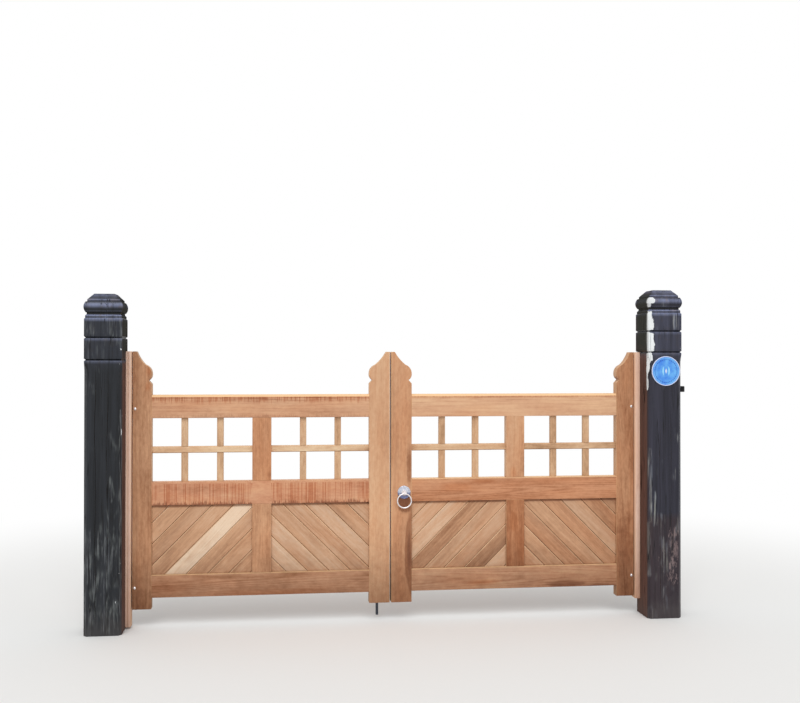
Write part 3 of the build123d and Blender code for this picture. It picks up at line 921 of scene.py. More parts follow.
def skinned(
    bm: Shape, rings: Sequence[list], crisp: float, looped: bool = False, capped: bool = False
) -> Shape:
    """Close a mesh over rings of vertices, smooth but for its corners.

    Args:
        bm: the mesh that holds the vertices.
        rings: the rings in order.
        crisp: the angle in degrees from which a corner shows.
        looped: whether the last ring joins the first.
        capped: whether the end rings are closed by a face.

    Returns:
        The mesh, faces outward.
    """
    if capped:
        bm.faces.new(rings[0][::-1])
        bm.faces.new(rings[-1])
    for lower, upper in list(zip(rings, rings[1:])) + [(rings[-1], rings[0])] * looped:
        for corners in zip(lower, lower[1:] + lower[:1], upper[1:] + upper[:1], upper):
            bm.faces.new(list(dict.fromkeys(corners)))
    bmesh.ops.recalc_face_normals(bm, faces=bm.faces[:])
    for face in bm.faces:
        face.smooth = len(face.verts) < 5
    bm.normal_update()
    for edge in bm.edges:
        edge.smooth = edge.calc_face_angle(0.0) < math.radians(crisp)
    return bm


def lathe(profile: Sequence[Pair], sides: int, looped: bool = False) -> Shape:
    """A turned solid about Z.

    Args:
        profile: radius and height of each ring, from one pole to the other or round a band.
        sides: how many sides it has.
        looped: whether the profile runs round a band.

    Returns:
        The mesh, faces outward.
    """
    bm = bmesh.new()
    rings = []
    for radius, height in profile:
        if radius < 1e-6:
            rings.append([bm.verts.new((0.0, 0.0, height))] * sides)
        else:
            turns = round_turns(sides)
            rings.append([bm.verts.new((radius * math.cos(t), radius * math.sin(t), height)) for t in turns])
    return skinned(bm, rings, 36.0 if looped else 38.0, looped)


def hoop(points: list[Vector], radius: float, sides: int) -> Shape:
    """A round bar that follows points and joins up.

    Args:
        points: its centre line.
        radius: its radius.
        sides: how many sides it has.

    Returns:
        The mesh, faces outward.
    """
    bm = bmesh.new()
    rings = []
    side = (points[1] - points[-1]).normalized().orthogonal().normalized()
    for before, point, after in zip(points[-1:] + points, points, points[1:] + points[:1]):
        ahead = (after - before).normalized()
        side = (side - ahead * side.dot(ahead)).normalized()
        other = ahead.cross(side)
        spokes = [(side * math.cos(t) + other * math.sin(t)) * radius for t in round_turns(sides)]
        rings.append([bm.verts.new(point + spoke) for spoke in spokes])
    return skinned(bm, rings, 45.0, True)


def merged(parts: Iterable[Shape]) -> Shape:
    """Several meshes as one.

    Args:
        parts: the meshes, used up.

    Returns:
        The one mesh.
    """
    whole = bmesh.new()
    for part in parts:
        mesh = bpy.data.meshes.new("part")
        part.to_mesh(mesh)
        part.free()
        whole.from_mesh(mesh)
        bpy.data.meshes.remove(mesh)
    return whole


def turned(bm: Shape, matrix: Matrix) -> Shape:
    """Move a mesh, with its faces kept outward where that mirrors it.

    Args:
        bm: the mesh.
        matrix: the move.

    Returns:
        The same mesh.
    """
    bmesh.ops.transform(bm, matrix=matrix, verts=bm.verts[:])
    if matrix.determinant() < 0:
        bmesh.ops.reverse_faces(bm, faces=bm.faces[:])
    return bm


def facing(direction: Triple, place: Triple) -> Matrix:
    """Matrix that stands a piece made about Z on a place, with its top toward a direction."""
    turn = Vector(ALONG_Z).rotation_difference(Vector(direction)).to_matrix().to_4x4()
    return Matrix.Translation(Vector(place)) @ turn


def points_of(bm: Shape) -> np.ndarray:
    """The vertices of a mesh as rows."""
    return np.array([v.co for v in bm.verts], float).reshape(-1, 3)


def placed(name: str, data: Any) -> bpy.types.Object:
    """Put an object in the scene.

    Args:
        name: its name.
        data: what it holds.

    Returns:
        The object.
    """
    made = bpy.data.objects.new(name, data)
    bpy.context.scene.collection.objects.link(made)
    return made


# Geometry nodes


class Growth(Graph):
    """A Geometry Nodes tree that repeats one piece; its inputs have names."""

    def __init__(self, name: str, sizes: dict[str, str]) -> None:
        """Start a tree.

        Args:
            name: the tree's name.
            sizes: its own inputs, name to socket type.
        """
        super().__init__(bpy.data.node_groups.new(name, "GeometryNodeTree"))
        sockets = {"Geometry": "Geometry", "Piece": "Object", **sizes, "Material": "Material"}
        for socket, kind in sockets.items():
            self.tree.interface.new_socket(name=socket, in_out="INPUT", socket_type=f"NodeSocket{kind}")
        self.tree.interface.new_socket(name="Geometry", in_out="OUTPUT", socket_type="NodeSocketGeometry")
        given = self.node("NodeGroupInput")
        self.given = {name: Val(self, given.outputs[name]) for name in sockets}

    def close(self, points: Any, **how: Any) -> None:
        """End the tree: stand the piece on points, realise it and set the material.

        Args:
            points: the points.
            how: further inputs of the node that stands it.
        """
        piece = self.value("GeometryNodeObjectInfo", None, {"Object": self.given["Piece"]}, "Geometry")
        stood = self.node("GeometryNodeInstanceOnPoints", None, {"Points": points, "Instance": piece, **how})
        real = self.node("GeometryNodeRealizeInstances", None, {0: stood})
        inputs = {"Geometry": real, "Material": self.given["Material"]}
        self.node("NodeGroupOutput", None, {0: self.node("GeometryNodeSetMaterial", None, inputs)})

    def run(self, points: bpy.types.Mesh, piece: Shape, **values: Any) -> bpy.types.Mesh:
        """Run the tree.

        Args:
            points: the mesh that it starts from.
            piece: what it repeats, used up.
            values: its other inputs.

        Returns:
            A plain mesh.
        """
        pattern = placed("pattern", bpy.data.meshes.new("pattern"))
        piece.to_mesh(pattern.data)
        piece.free()
        values["Piece"] = pattern
        host = placed("host", points)
        made = host.modifiers.new("growth", "NODES")
        made.node_group = self.tree
        for item in self.tree.interface.items_tree:
            if item.in_out == "INPUT" and item.name in values:
                made[item.identifier] = values[item.name]
        graph = bpy.context.evaluated_depsgraph_get()
        grown = host.evaluated_get(graph)
        mesh = bpy.data.meshes.new_from_object(grown, preserve_all_data_layers=True, depsgraph=graph)
        host.modifiers.remove(made)
        bpy.data.objects.remove(host)
        bpy.data.objects.remove(pattern)
        return mesh


class RowGrowth(Growth):
    """Equal pieces in a row: boards and lattice bars."""

    def __init__(self) -> None:
        """Build the tree."""
        sizes = {"Count": "Int", "Start": "Vector", "Step": "Vector", "Turn": "Vector"}
        super().__init__("row_of_pieces", sizes)
        given = self.given
        inputs = {"Count": given["Count"], "Start Location": given["Start"], "Offset": given["Step"]}
        line = self.node("GeometryNodeMeshLine", {"mode": "OFFSET", "count_mode": "TOTAL"}, inputs)
        self.close(line, Rotation=given["Turn"])


class FixingGrowth(Growth):
    """Heads, nuts and screws that stand on points, each toward its own direction."""

    def __init__(self) -> None:
        """Build the tree."""
        super().__init__("fixings", {"Scale": "Float"})
        kind = "GeometryNodeInputNamedAttribute"
        toward = self.node(kind, {"data_type": "FLOAT_VECTOR"}, {"Name": "facing"})
        spin = self.node(kind, {"data_type": "FLOAT"}, {"Name": "spin"})
        aimed = self.node("FunctionNodeAlignRotationToVector", {"axis": "Z"}, {"Vector": toward})
        about = self.node("FunctionNodeAxisAngleToRotation", None, {"Angle": spin})
        turn = self.node("FunctionNodeRotateRotation", {"rotation_space": "LOCAL"}, {0: aimed, 1: about})
        self.close(self.given["Geometry"], Rotation=turn, Scale=self.given["Scale"])


class Workshop:
    """Makes each material once, and holds the trees that repeat pieces."""

    def __init__(self) -> None:
        """Build the trees, with no material made."""
        self.made: dict[str, bpy.types.Material] = {}
        self.rows = RowGrowth()
        self.fixings = FixingGrowth()

    def get(self, finish: Finish) -> bpy.types.Material:
        """The material of a finish, made when it is first asked for.

        Args:
            finish: the finish.

        Returns:
            The material.
        """
        if finish.name not in self.made:
            self.made[finish.name] = finish.material()
        return self.made[finish.name]


# Sub-assemblies


@dataclass(frozen=True)
class Stain:
    """A patch on a face that fades out from its middle, such as water staining; some stand partly for painted
    shade.
    """

    x: float
    z: float
    wide: float
    high: float
    strength: float

    def at(self, points: np.ndarray) -> np.ndarray:
        """How strong it is at points."""
        far = ((points[:, X] - self.x) / self.wide) ** 2 + ((points[:, Z] - self.z) / self.high) ** 2
        return self.strength * np.clip(1.0 - far, 0.0, 1.0)


def stained(stains: Iterable[Sequence[float]], points: np.ndarray) -> np.ndarray:
    """How strong stains, given as rows of Stain's numbers, are together at points."""
    return sum((Stain(*row).at(points) for row in stains), np.zeros(len(points)))


@dataclass(frozen=True)
class Timber:
    """How one length of timber was sawn, and how it has weathered."""

    along: Triple
    across: Triple
    centre: Triple
    seed: int
    tone: float = 0.0
    redness: float = 0.0
    runs: float = 0.0

    def grain(self, points: np.ndarray) -> np.ndarray:
        """Place of points in the log.

        Args:
            points: rows in millimetres.

        Returns:
            Rows in metres: along, across and away from its heart.
        """
        pick = random.Random(SEED * 1009 + self.seed)
        along, across = np.array(self.along), np.array(self.across)
        local = points - np.array(self.centre)
        a, c, d = local @ along, local @ across, local @ np.cross(along, across)
        heart = (pick.uniform(-55.0, 55.0), pick.choice((-1, 1)) * pick.uniform(25.0, 70.0))
        tilt = (pick.uniform(-0.03, 0.03), pick.uniform(-0.022, 0.022))
        start = pick.uniform(0.0, 40000.0)
        return np.stack([a + start, c + heart[0] + a * tilt[0], d + heart[1] + a * tilt[1]], 1) * MM

    def marks(self, points: np.ndarray, damp_and_shade: Any = 0.0, span: Pair | None = None) -> Marks:
        """The vectors that a timber finish reads.

        Args:
            points: the vertices in millimetres.
            damp_and_shade: how much each is darkened, as water staining and as painted shade.
            span: heights of the piece's bottom and top, if not those of the vertices.

        Returns:
            The vectors by name.
        """
        heights = points[:, Z]
        low, high = span or (heights.min(), heights.max())
        ones = np.ones(len(points))
        look = (ones * self.tone, ones * self.redness, ones * damp_and_shade)
        edge = ((high - heights) * MM, (heights - low) * MM, ones * self.runs)
        return {"grain": self.grain(points), "look": np.stack(look, 1), "edge": np.stack(edge, 1)}


@dataclass
class SubAssembly:
    """Pieces that are built together, with what they need from the shop."""

    shop: Workshop
    pieces: list[bpy.types.Object] = field(default_factory=list, init=False)

    def settle(
        self,
        shape: Shape | bpy.types.Mesh,
        name: str,
        finish: Finish,
        body: str,
        nodes: Sequence[str] = (),
        marks: Marks | None = None,
    ) -> bpy.types.Object:
        """Turn a shape in millimetres into a finished piece that rides on a body.

        Args:
            shape: the mesh, used up.
            name: the piece's name.
            finish: the finish that it gets.
            body: the body that carries it.
            nodes: the nodes that it stands for.
            marks: vectors for each vertex that the finish reads, by name.

        Returns:
            The piece.
        """
        mesh = shape
        if isinstance(shape, Shape):
            mesh = bpy.data.meshes.new(name)
            shape.to_mesh(mesh)
            shape.free()
        mesh.name = name
        mesh.transform(Matrix.Scale(MM, 4))
        if len(mesh.materials):
            mesh.materials.clear()
        mesh.materials.append(self.shop.get(finish))
        for mark, values in (marks or {}).items():
            layer = mesh.attributes.new(mark, "FLOAT_VECTOR", "POINT")
            layer.data.foreach_set("vector", values.astype(np.float32).ravel())
        # Which way each face looks; the timber finish paints its highlights and shade from it.
        if isinstance(finish, TimberFinish):
            lean = mesh.attributes.new("lean", "FLOAT_VECTOR", "FACE")
            lean.data.foreach_set("vector", [part for face in mesh.polygons for part in face.normal])
        piece = placed(name, mesh)
        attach(piece, body)
        if nodes:
            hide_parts(*nodes)
        self.pieces.append(piece)
        return piece

    def stand_in(self, shape: Shape, node: str, finish: Finish, body: str, marks: Marks | None = None) -> Any:
        """Settle a shape that stands for a node of the frame, and give back the piece."""
        return self.settle(shape, f"{node}_dressed", finish, body, [node], marks)

    def dress(self, node: str, finish: Finish) -> None:
        """Give a node of the frame its material.

        Args:
            node: the node's name.
            finish: what it is made of.
        """
        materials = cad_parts[node].data.materials
        materials.clear()
        materials.append(self.shop.get(finish))

    def row(
        self, piece: Shape, finish: Finish, count: int, start: Any, step: Any = ORIGIN, lean: float = 0.0
    ) -> Shape:
        """Repeat a piece in a row with Geometry Nodes.

        Args:
            piece: the piece about the origin, used up.
            finish: its finish.
            count: how many there are.
            start: where the first one is.
            step: from one to the next.
            lean: how far each is turned about Y.

        Returns:
            The row as one mesh.
        """
        values = {"Count": count, "Start": start, "Step": step, "Turn": (0.0, lean, 0.0)}
        values["Material"] = self.shop.get(finish)
        mesh = self.shop.rows.run(bpy.data.meshes.new("start"), piece, **values)
        bm = bmesh.new()
        bm.from_mesh(mesh)
        bpy.data.meshes.remove(mesh)
        return bm

    def stand(
        self,
        piece: Shape,
        places: Sequence[tuple[Triple, Triple, float]],
        name: str,
        finish: Finish,
        body: str,
        move: Matrix | None = None,
    ) -> None:
        """Stand copies of a fixing on points with Geometry Nodes, as one piece.

        Args:
            piece: the fixing about the origin with its top toward Z, used up.
            places: point, direction and spin of each copy.
            name: the piece's name.
            finish: what it is made of.
            body: the body that carries it.
            move: where all of them go then.
        """
        points = bpy.data.meshes.new("points")
        points.from_pydata([place for place, _, _ in places], [], [])
        toward = points.attributes.new("facing", "FLOAT_VECTOR", "POINT")
        toward.data.foreach_set("vector", [part for _, way, _ in places for part in way])
        spin = points.attributes.new("spin", "FLOAT", "POINT")
        spin.data.foreach_set("value", [angle for _, _, angle in places])
        mesh = self.shop.fixings.run(points, piece, Scale=1.0, Material=self.shop.get(finish))
        mesh.transform(move or Matrix())
        self.settle(mesh, name, finish, body)

    def report(self) -> None:
        """Log each piece with its triangles."""
        for piece in self.pieces:
            piece.data.calc_loop_triangles()
            LOG.info("%s: %d triangles", piece.name, len(piece.data.loop_triangles))


@dataclass(frozen=True)
class Opening:
    """Sizes that the posts and the leaves share, in millimetres."""

    post_side: float = 205.0
    clear: float = 3000.0
    strip_wide: float = 31.0
    hang_gap: float = 6.0
    meet_gap: float = 8.0
    meet_splay: float = 1.4
    leaf_y: Pair = (41.5, 99.5)

    @property
    def left_face(self) -> float:
        """Inner face of the left post."""
        return self.post_side / 2

    @property
    def middle(self) -> float:
        """Middle of the gateway."""
        return self.left_face + self.clear / 2

    @property
    def leaf_x(self) -> Pair:
        """Hanging and meeting edge of the left leaf."""
        return self.left_face + self.strip_wide + self.hang_gap, self.middle - self.meet_gap / 2

    def across(self, side: Side, x: float) -> float:
        """Where a place on the left half comes on a side."""
        return 2 * self.middle - x if side is Side.RIGHT else x

    def on_side(self, side: Side, bm: Shape) -> Shape:
        """Put a piece of the left half on a side."""
        mirror = Matrix.Translation((2 * self.middle, 0.0, 0.0)) @ Matrix.Scale(-1.0, 4, ALONG_X)
        return turned(bm, mirror) if side is Side.RIGHT else bm


OPENING = Opening()


@dataclass(frozen=True)
class LeafLook:
    """How the timbers of one leaf have weathered.

    A tone row is tone, redness and, where water drips, how far drips run. A board row is
    the first seam, the pitch of the seams and then each board's tone. Damp and blush rows
    are Stain's numbers. A dry span is the stretch of a rail that has no drips.
    """

    tones: dict[str, tuple[float, ...]]
    boards: dict[Bay, tuple[float, ...]]
    damps: dict[str, tuple[tuple[float, ...], ...]]
    blushes: dict[str, tuple[tuple[float, ...], ...]]
    dry_spans: dict[str, Pair] = field(default_factory=dict)

    def of(self, piece: str) -> Triple:
        """Tone, redness and drips of a piece."""
        return (*self.tones[piece], 0.0)[:3]


@dataclass
class GateLeaf(SubAssembly):
    """One leaf: stiles with ogee heads, rails, muntins, lattice and boarded panels.

    The ogee's corners are told by how far they lie in from the stile's edge and below its
    top. Each darkening of a panel, along its sides, foot and seams as dirt and painted shade
    and under the rail above as a painted shadow, is how far it reaches and how strong it is
    at its edge. Seeds grow from board to board, bay to bay and side to side by the seed steps.
    """

    side: Side
    look: LeafLook
    foot: float = 105.0
    stile_top: float = 1560.0
    stile_wide: Pair = (105.0, 120.0)
    meeting_arris: float = 5.0
    muntin: float = 108.0
    rail_heights: dict[Rail, Pair] = field(
        default_factory=lambda: dict(zip(Rail, ((169.0, 297.0), (689.0, 821.0), (1182.0, 1314.0))))
    )
    weathering: Pair = (12.0, 13.0)
    head_flat: float = 21.0
    ogee: tuple[Pair, ...] = ((36.0, 75.0), (0.0, 124.0), (4.0, 149.0), (18.0, 164.0), (0.0, 184.0))
    ogee_sags: Pair = (5.0, -9.5)
    bar_wide: float = 37.0
    bar_deep: float = 30.0
    bar_setback: float = 16.0
    bar_arris: float = 4.0
    bar_play: float = 0.3
    lap_play: float = 0.2
    bar_top_shadow: Pair = (14.0, 0.62)
    panel_setback: float = 12.0
    panel_thick: float = 22.0
    panel_groove: float = 9.5
    board_edge: float = 3.2
    board_gap: float = 0.5
    # Panels darken along their sides, foot and seams as dirt and painted shade, and under the rail above as a
    # painted shadow.
    side_grime_and_shade: Pair = (16.0, 0.62)
    foot_grime_and_shade: Pair = (13.0, 0.62)
    head_shadow: Pair = (20.0, 1.7)
    seam_grime_and_shade: Pair = (9.0, 0.75)
    board_seed: int = 500
    seed_steps: tuple[int, int, int] = (7, 90, 400)
    ruddy_swing: float = 0.16
    arris: float = 1.8
    stain_grid: tuple[Triple, Triple] = ((140.0, 3080.0, 11.0), (120.0, 1540.0, 22.0))
    dry_fade: float = 8.0

    @property
    def rail_ends(self) -> Pair:
        """Left and right end of the rails, on the left leaf."""
        return OPENING.leaf_x[0] + self.stile_wide[0], OPENING.leaf_x[1] - self.stile_wide[1]

    @property
    def bays(self) -> dict[Bay, Pair]:
        """Left and right edges of the two openings, on the left leaf."""
        x0, x1 = self.rail_ends
        middle = (x0 + x1) / 2
        return {Bay.OUTER: (x0, middle - self.muntin / 2), Bay.INNER: (middle + self.muntin / 2, x1)}

    @property
    def heights(self) -> dict[str, Pair]:
        """Bottom and top of the lower and the upper openings, by their muntin."""
        bottom, middle, top = self.rail_heights.values()
        return {"lower_muntin": (bottom[1], middle[0]), "upper_muntin": (middle[1], top[0])}

    def build(self) -> None:
        """Build every piece of the leaf."""
        self.build_stiles()
        self.build_rails()
        for piece, (low, high) in self.heights.items():
            bm = box(self.bays[Bay.OUTER][1], self.bays[Bay.INNER][0], *OPENING.leaf_y, low, high)
            self.add_timber(bm, piece, STILE_TIMBER, ALONG_Z, ALONG_X)
        for bay in Bay:
            self.build_lattice(bay)
            self.build_panel(bay)

    def own_timber(self, piece: str, along: Triple, across: Triple, centre: Iterable[float]) -> Timber:
        """A timber with the look that this leaf gives its piece."""
        seed = sum(ord(c) * (i + 3) for i, c in enumerate(self.side.value + piece))
        return Timber(along, across, tuple(centre), seed, *self.look.of(piece))

    def settle_own(self, bm: Shape, piece: str, finish: Finish, marks: Marks) -> None:
        """Settle the shape of one of this leaf's nodes."""
        self.stand_in(bm, f"{self.side.value}_{piece}", finish, f"{self.side.value}_leaf", marks)

    def add_timber(
        self, bm: Shape, piece: str, finish: Finish, along: Triple, across: Triple, move: Matrix | None = None
    ) -> None:
        """Finish a frame member from its left-hand shape.

        Args:
            bm: the shape on the left leaf with sharp arrises, used up.
            piece: its name without the side.
            finish: its finish.
            along: direction of the fibre.
            across: direction over its face.
            move: where it goes once its arrises are rounded.
        """
        OPENING.on_side(self.side, turned(soften(bm, self.arris, 3), move or Matrix()))
        damps, blushes = (rows.get(piece, ()) for rows in (self.look.damps, self.look.blushes))
        if damps or blushes:
            for axis, places in zip((X, Z), self.stain_grid):
                sliced(bm, axis, np.arange(*places))
        dry = self.look.dry_spans.get(piece)
        if dry:
            sliced(bm, X, (dry[0] - self.dry_fade, *dry, dry[1] + self.dry_fade))
        points = points_of(bm)
        timber = self.own_timber(piece, along, across, (points.min(0) + points.max(0)) / 2)
        marks = timber.marks(points, stained(damps, points))
        marks["look"][:, 1] += stained(blushes, points)
        if dry:
            outside = np.maximum(dry[0] - points[:, X], points[:, X] - dry[1])
            marks["edge"][:, 2] *= np.clip(outside / self.dry_fade, 0.0, 1.0)
        self.settle_own(bm, piece, finish, marks)

    def stile_outline(self, width: float) -> list[Pair]:
        """Stile seen from the front.

        Args:
            width: its width.

        Returns:
            The corners, with the straight edge at 0 and the ogee head on the other edge.
        """
        top = self.stile_top
        flat_end = (self.head_flat, top)
        scoop_end, nose, under, notch, shoulder = ((width - inset, top - drop) for inset, drop in self.ogee)
        points = [(0.0, self.foot), (0.0, top), flat_end]
        points += bowed(flat_end, scoop_end, self.ogee_sags[0], 8)
        points += bowed(scoop_end, nose, self.ogee_sags[1], 9)
        points += arc(nose, under, notch, 7)
        return points + [shoulder, (width, self.foot)]

    def build_stiles(self) -> None:
        """Build both stiles, the meeting one splayed behind and chamfered in front."""
        front, back = OPENING.leaf_y
        for piece, width, edge, way in zip(
            ("hanging_stile", "meeting_stile"), self.stile_wide, OPENING.leaf_x, (1.0, -1.0)
        ):
            bm = prism(self.stile_outline(width), front, back, Y)
            if way < 0.0:
                for vert in bm.verts:
                    if abs(vert.co.x) < 0.01 and vert.co.y > back - 0.01:
                        vert.co.x -= OPENING.meet_splay
                chamfer(bm, self.meeting_arris, {X: 0.0, Y: front}, Z)
            move = Matrix.Translation((edge, 0.0, 0.0)) @ Matrix.Scale(way, 4, ALONG_X)
            self.add_timber(bm, piece, STILE_TIMBER, ALONG_Z, ALONG_X, move)

    def build_rails(self) -> None:
        """Build the three rails, the top one weathered along both upper edges."""
        front, back = OPENING.leaf_y
        for rail, (low, high) in self.rail_heights.items():
            outline = [(front, low), (back, low), (back, high), (front, high)]
            if rail is Rail.TOP:
                deep, rise = self.weathering
                outline[2:] = [(back, high - rise), (back - deep, high)]
                outline += [(front + deep, high), (front, high - rise)]
            piece = f"{rail.value}_rail"
            finish = DRIPPED_TIMBER if self.look.of(piece)[2] > 0.1 else RAIL_TIMBER
            self.add_timber(prism(outline, *self.rail_ends, X), piece, finish, ALONG_X, ALONG_Z)

    def lattice_bar(self, long: float, laps: Sequence[float], lap_behind: bool) -> Shape:
        """One lattice bar lying along X about the origin, front toward -Y, halved where it laps.

        Args:
            long: its length.
            laps: middles of the laps along it.
            lap_behind: whether the halvings are cut from its back.

        Returns:
            The bar.
        """
        half, wide = long / 2, self.bar_wide / 2
        cut, far = (self.bar_deep, 0.0) if lap_behind else (0.0, self.bar_deep)
        bed = self.bar_deep / 2 + (self.lap_play if lap_behind else -self.lap_play)
        edge = [(-half, cut)]
        for lap in laps:
            a, b = lap - wide - self.bar_play, lap + wide + self.bar_play
            edge += [(a, cut), (a, bed), (b, bed), (b, cut)]
        bm = prism([*edge, (half, cut), (half, far), (-half, far)], -wide, wide)
        chamfer(bm, self.bar_arris, {Y: 0.0}, X)
        return soften(bm, 0.9)

    def build_lattice(self, bay: Bay) -> None:
        """Build one bay's two upright bars and the level bar that is halved over them.

        Args:
            bay: the bay.
        """
        x0, x1 = self.bays[bay]
        low, high = self.heights["upper_muntin"]
        step = (x1 - x0 - 2 * self.bar_wide) / 3 + self.bar_wide
        middle = ((x0 + x1) / 2, OPENING.leaf_y[0] + self.bar_setback, (low + high) / 2)
        upright = turned(self.lattice_bar(high - low, [0.0], False), Matrix.Rotation(math.pi / 2, 4, "Y"))
        start = (middle[0] - step / 2, *middle[1:])
        uprights = self.row(upright, LATTICE_TIMBER, 2, start, (step, 0.0, 0.0))
        level = self.lattice_bar(x1 - x0, [-step / 2, step / 2], True)
        levels = self.row(level, LATTICE_TIMBER, 1, middle)
        reach, most = self.bar_top_shadow
        found = []
        for bars, word, along, across in (
            (uprights, "bars", ALONG_Z, ALONG_X),
            (levels, "level_bars", ALONG_X, ALONG_Z),
        ):
            OPENING.on_side(self.side, bars)
            sliced(bars, Z, (high - reach, high - 5.0))
            points = points_of(bars)
            timber = self.own_timber(f"{bay.value}_{word}", along, across, points.mean(0))
            # Painted shadow of the top rail on the tops of the bars.
            damp_and_shade = most * np.clip(1.0 - (high - points[:, Z]) / reach, 0.0, 1.0)
            found.append(timber.marks(points, damp_and_shade, (low, high)))
        marks = {mark: np.concatenate([own[mark] for own in found]) for mark in found[0]}
        self.settle_own(merged([uprights, levels]), f"lattice_{bay.value}", LATTICE_TIMBER, marks)

    def board(self, long: float, pitch: float) -> Shape:
        """One board with its V edges, about the origin.

        Args:
            long: its length, along X.
            pitch: its width along Z with half a gap on both sides.

        Returns:
            The board.
        """
        half, thick, edge = (pitch - self.board_gap) / 2, self.panel_thick, self.board_edge
        outline = [(edge, -half), (thick - edge, -half), (thick, edge - half), (thick, half - edge)]
        outline += [(thick - edge, half), (edge, half), (0.0, half - edge), (0.0, edge - half)]
        bm = soften(prism(outline, -long / 2, long / 2, X), 0.5, 1)
        inside = half - self.seam_grime_and_shade[0]
        sliced(bm, Z, (-inside, inside))
        return bm

    def build_panel(self, bay: Bay) -> None:
        """Build one panel of sloping boards and trim it to its grooves.

        Args:
            bay: its bay.
        """
        x0, x1 = self.bays[bay]
        low, high = self.heights["lower_muntin"]
        first_seam, pitch, *tones = self.look.boards[bay]
        rising = bay is Bay.OUTER
        along, across = (RISING, FALLING) if rising else (FALLING, RISING)
        centre = Vector(((x0 + x1) / 2, OPENING.leaf_y[0] + self.panel_setback, (low + high) / 2))
        start = centre + Vector(across) * (first_seam - 1.5 * pitch)
        board = self.board(x1 - x0 + high - low, pitch)
        lean = -math.pi / 4 if rising else math.pi / 4
        bm = self.row(board, BOARD_TIMBER, len(tones), start, Vector(across) * pitch, lean)
        grow = self.panel_groove
        for axis, place, way in ((X, x0, -1.0), (X, x1, 1.0), (Z, low, -1.0), (Z, high, 1.0)):
            point, normal = [0.0] * 3, [0.0] * 3
            point[axis], normal[axis] = place + way * grow, way
            cut_at(bm, point, normal, True)
        side_reach, foot_reach, head_reach = self.side_grime_and_shade[0], self.foot_grime_and_shade[0], self.head_shadow[0]
        sliced(bm, X, (x0 + 4.0, x0 + side_reach, x1 - side_reach, x1 - 4.0))
        sliced(bm, Z, (low + 3.0, low + foot_reach, high - head_reach, high - 7.0))

        points = points_of(bm)
        x, z = points[:, X], points[:, Z]
        place = (points - np.array(centre)) @ np.array(across) - first_seam
        item = np.clip(np.floor(place / pitch).astype(int) + 2, 0, len(tones) - 1)
        seam = place % pitch
        # Painted shadow under the rail above, and dirt with painted shade along the sides, foot and seams.
        near = [(x - x0, self.side_grime_and_shade), (x1 - x, self.side_grime_and_shade), (z - low, self.foot_grime_and_shade)]
        near += [(high - z, self.head_shadow), (pitch - seam if rising else seam, self.seam_grime_and_shade)]
        grime_and_shade = np.max([most * np.clip(1.0 - far / reach, 0.0, 1.0) for far, (reach, most) in near], 0)
        points = points_of(OPENING.on_side(self.side, bm))
        if self.side is Side.RIGHT:
            along, across = across, along
        shade, redness, runs = self.look.of(f"{bay.value}_boards")
        marks = {key: np.zeros((len(points), 3)) for key in ("grain", "look", "edge")}
        next_board, next_bay, next_side = self.seed_steps
        base = self.board_seed + next_bay * (bay is Bay.INNER) + next_side * (self.side is Side.RIGHT)
        for i, tone in enumerate(tones):
            own = item == i
            seed = base + i * next_board
            ruddy = redness + self.ruddy_swing * math.sin(i * 2.4 + seed)
            timber = Timber(along, across, tuple(centre), seed, tone + shade, ruddy, runs)
            for mark, values in timber.marks(points[own], grime_and_shade[own], (low, high)).items():
                marks[mark][own] = values
        self.settle_own(bm, f"panel_{bay.value}", BOARD_TIMBER, marks)


@dataclass(frozen=True)
class Crack:
    """A drying crack down one face of a post."""

    face: Face
    place: float
    foot: float
    head: float
    wide: float = 2.6
    deep: float = 7.0


@dataclass(frozen=True)
class WearPatch:
    """A soft block of one mark on one face of a post: its middle, half width and ends."""

    mark: Wear
    face: Face
    place: float
    wide: float
    foot: float
    head: float
    strength: float
    soft: float = 40.0


@dataclass(frozen=True)
class PostLook:
    """Paint, cracks, wear and painted shade of one post, and its painted highlight on the head; a row of wear
    is the numbers of a WearPatch.
    """

    paint: PostPaint
    head_highlight: float
    cracks: tuple[Crack, ...]
    wear: dict[tuple[Wear, Face], tuple[tuple[float, ...], ...]]

    def patches(self) -> list[WearPatch]:
        """Every patch of wear."""
        return [WearPatch(mark, face, *row) for (mark, face), rows in self.wear.items() for row in rows]


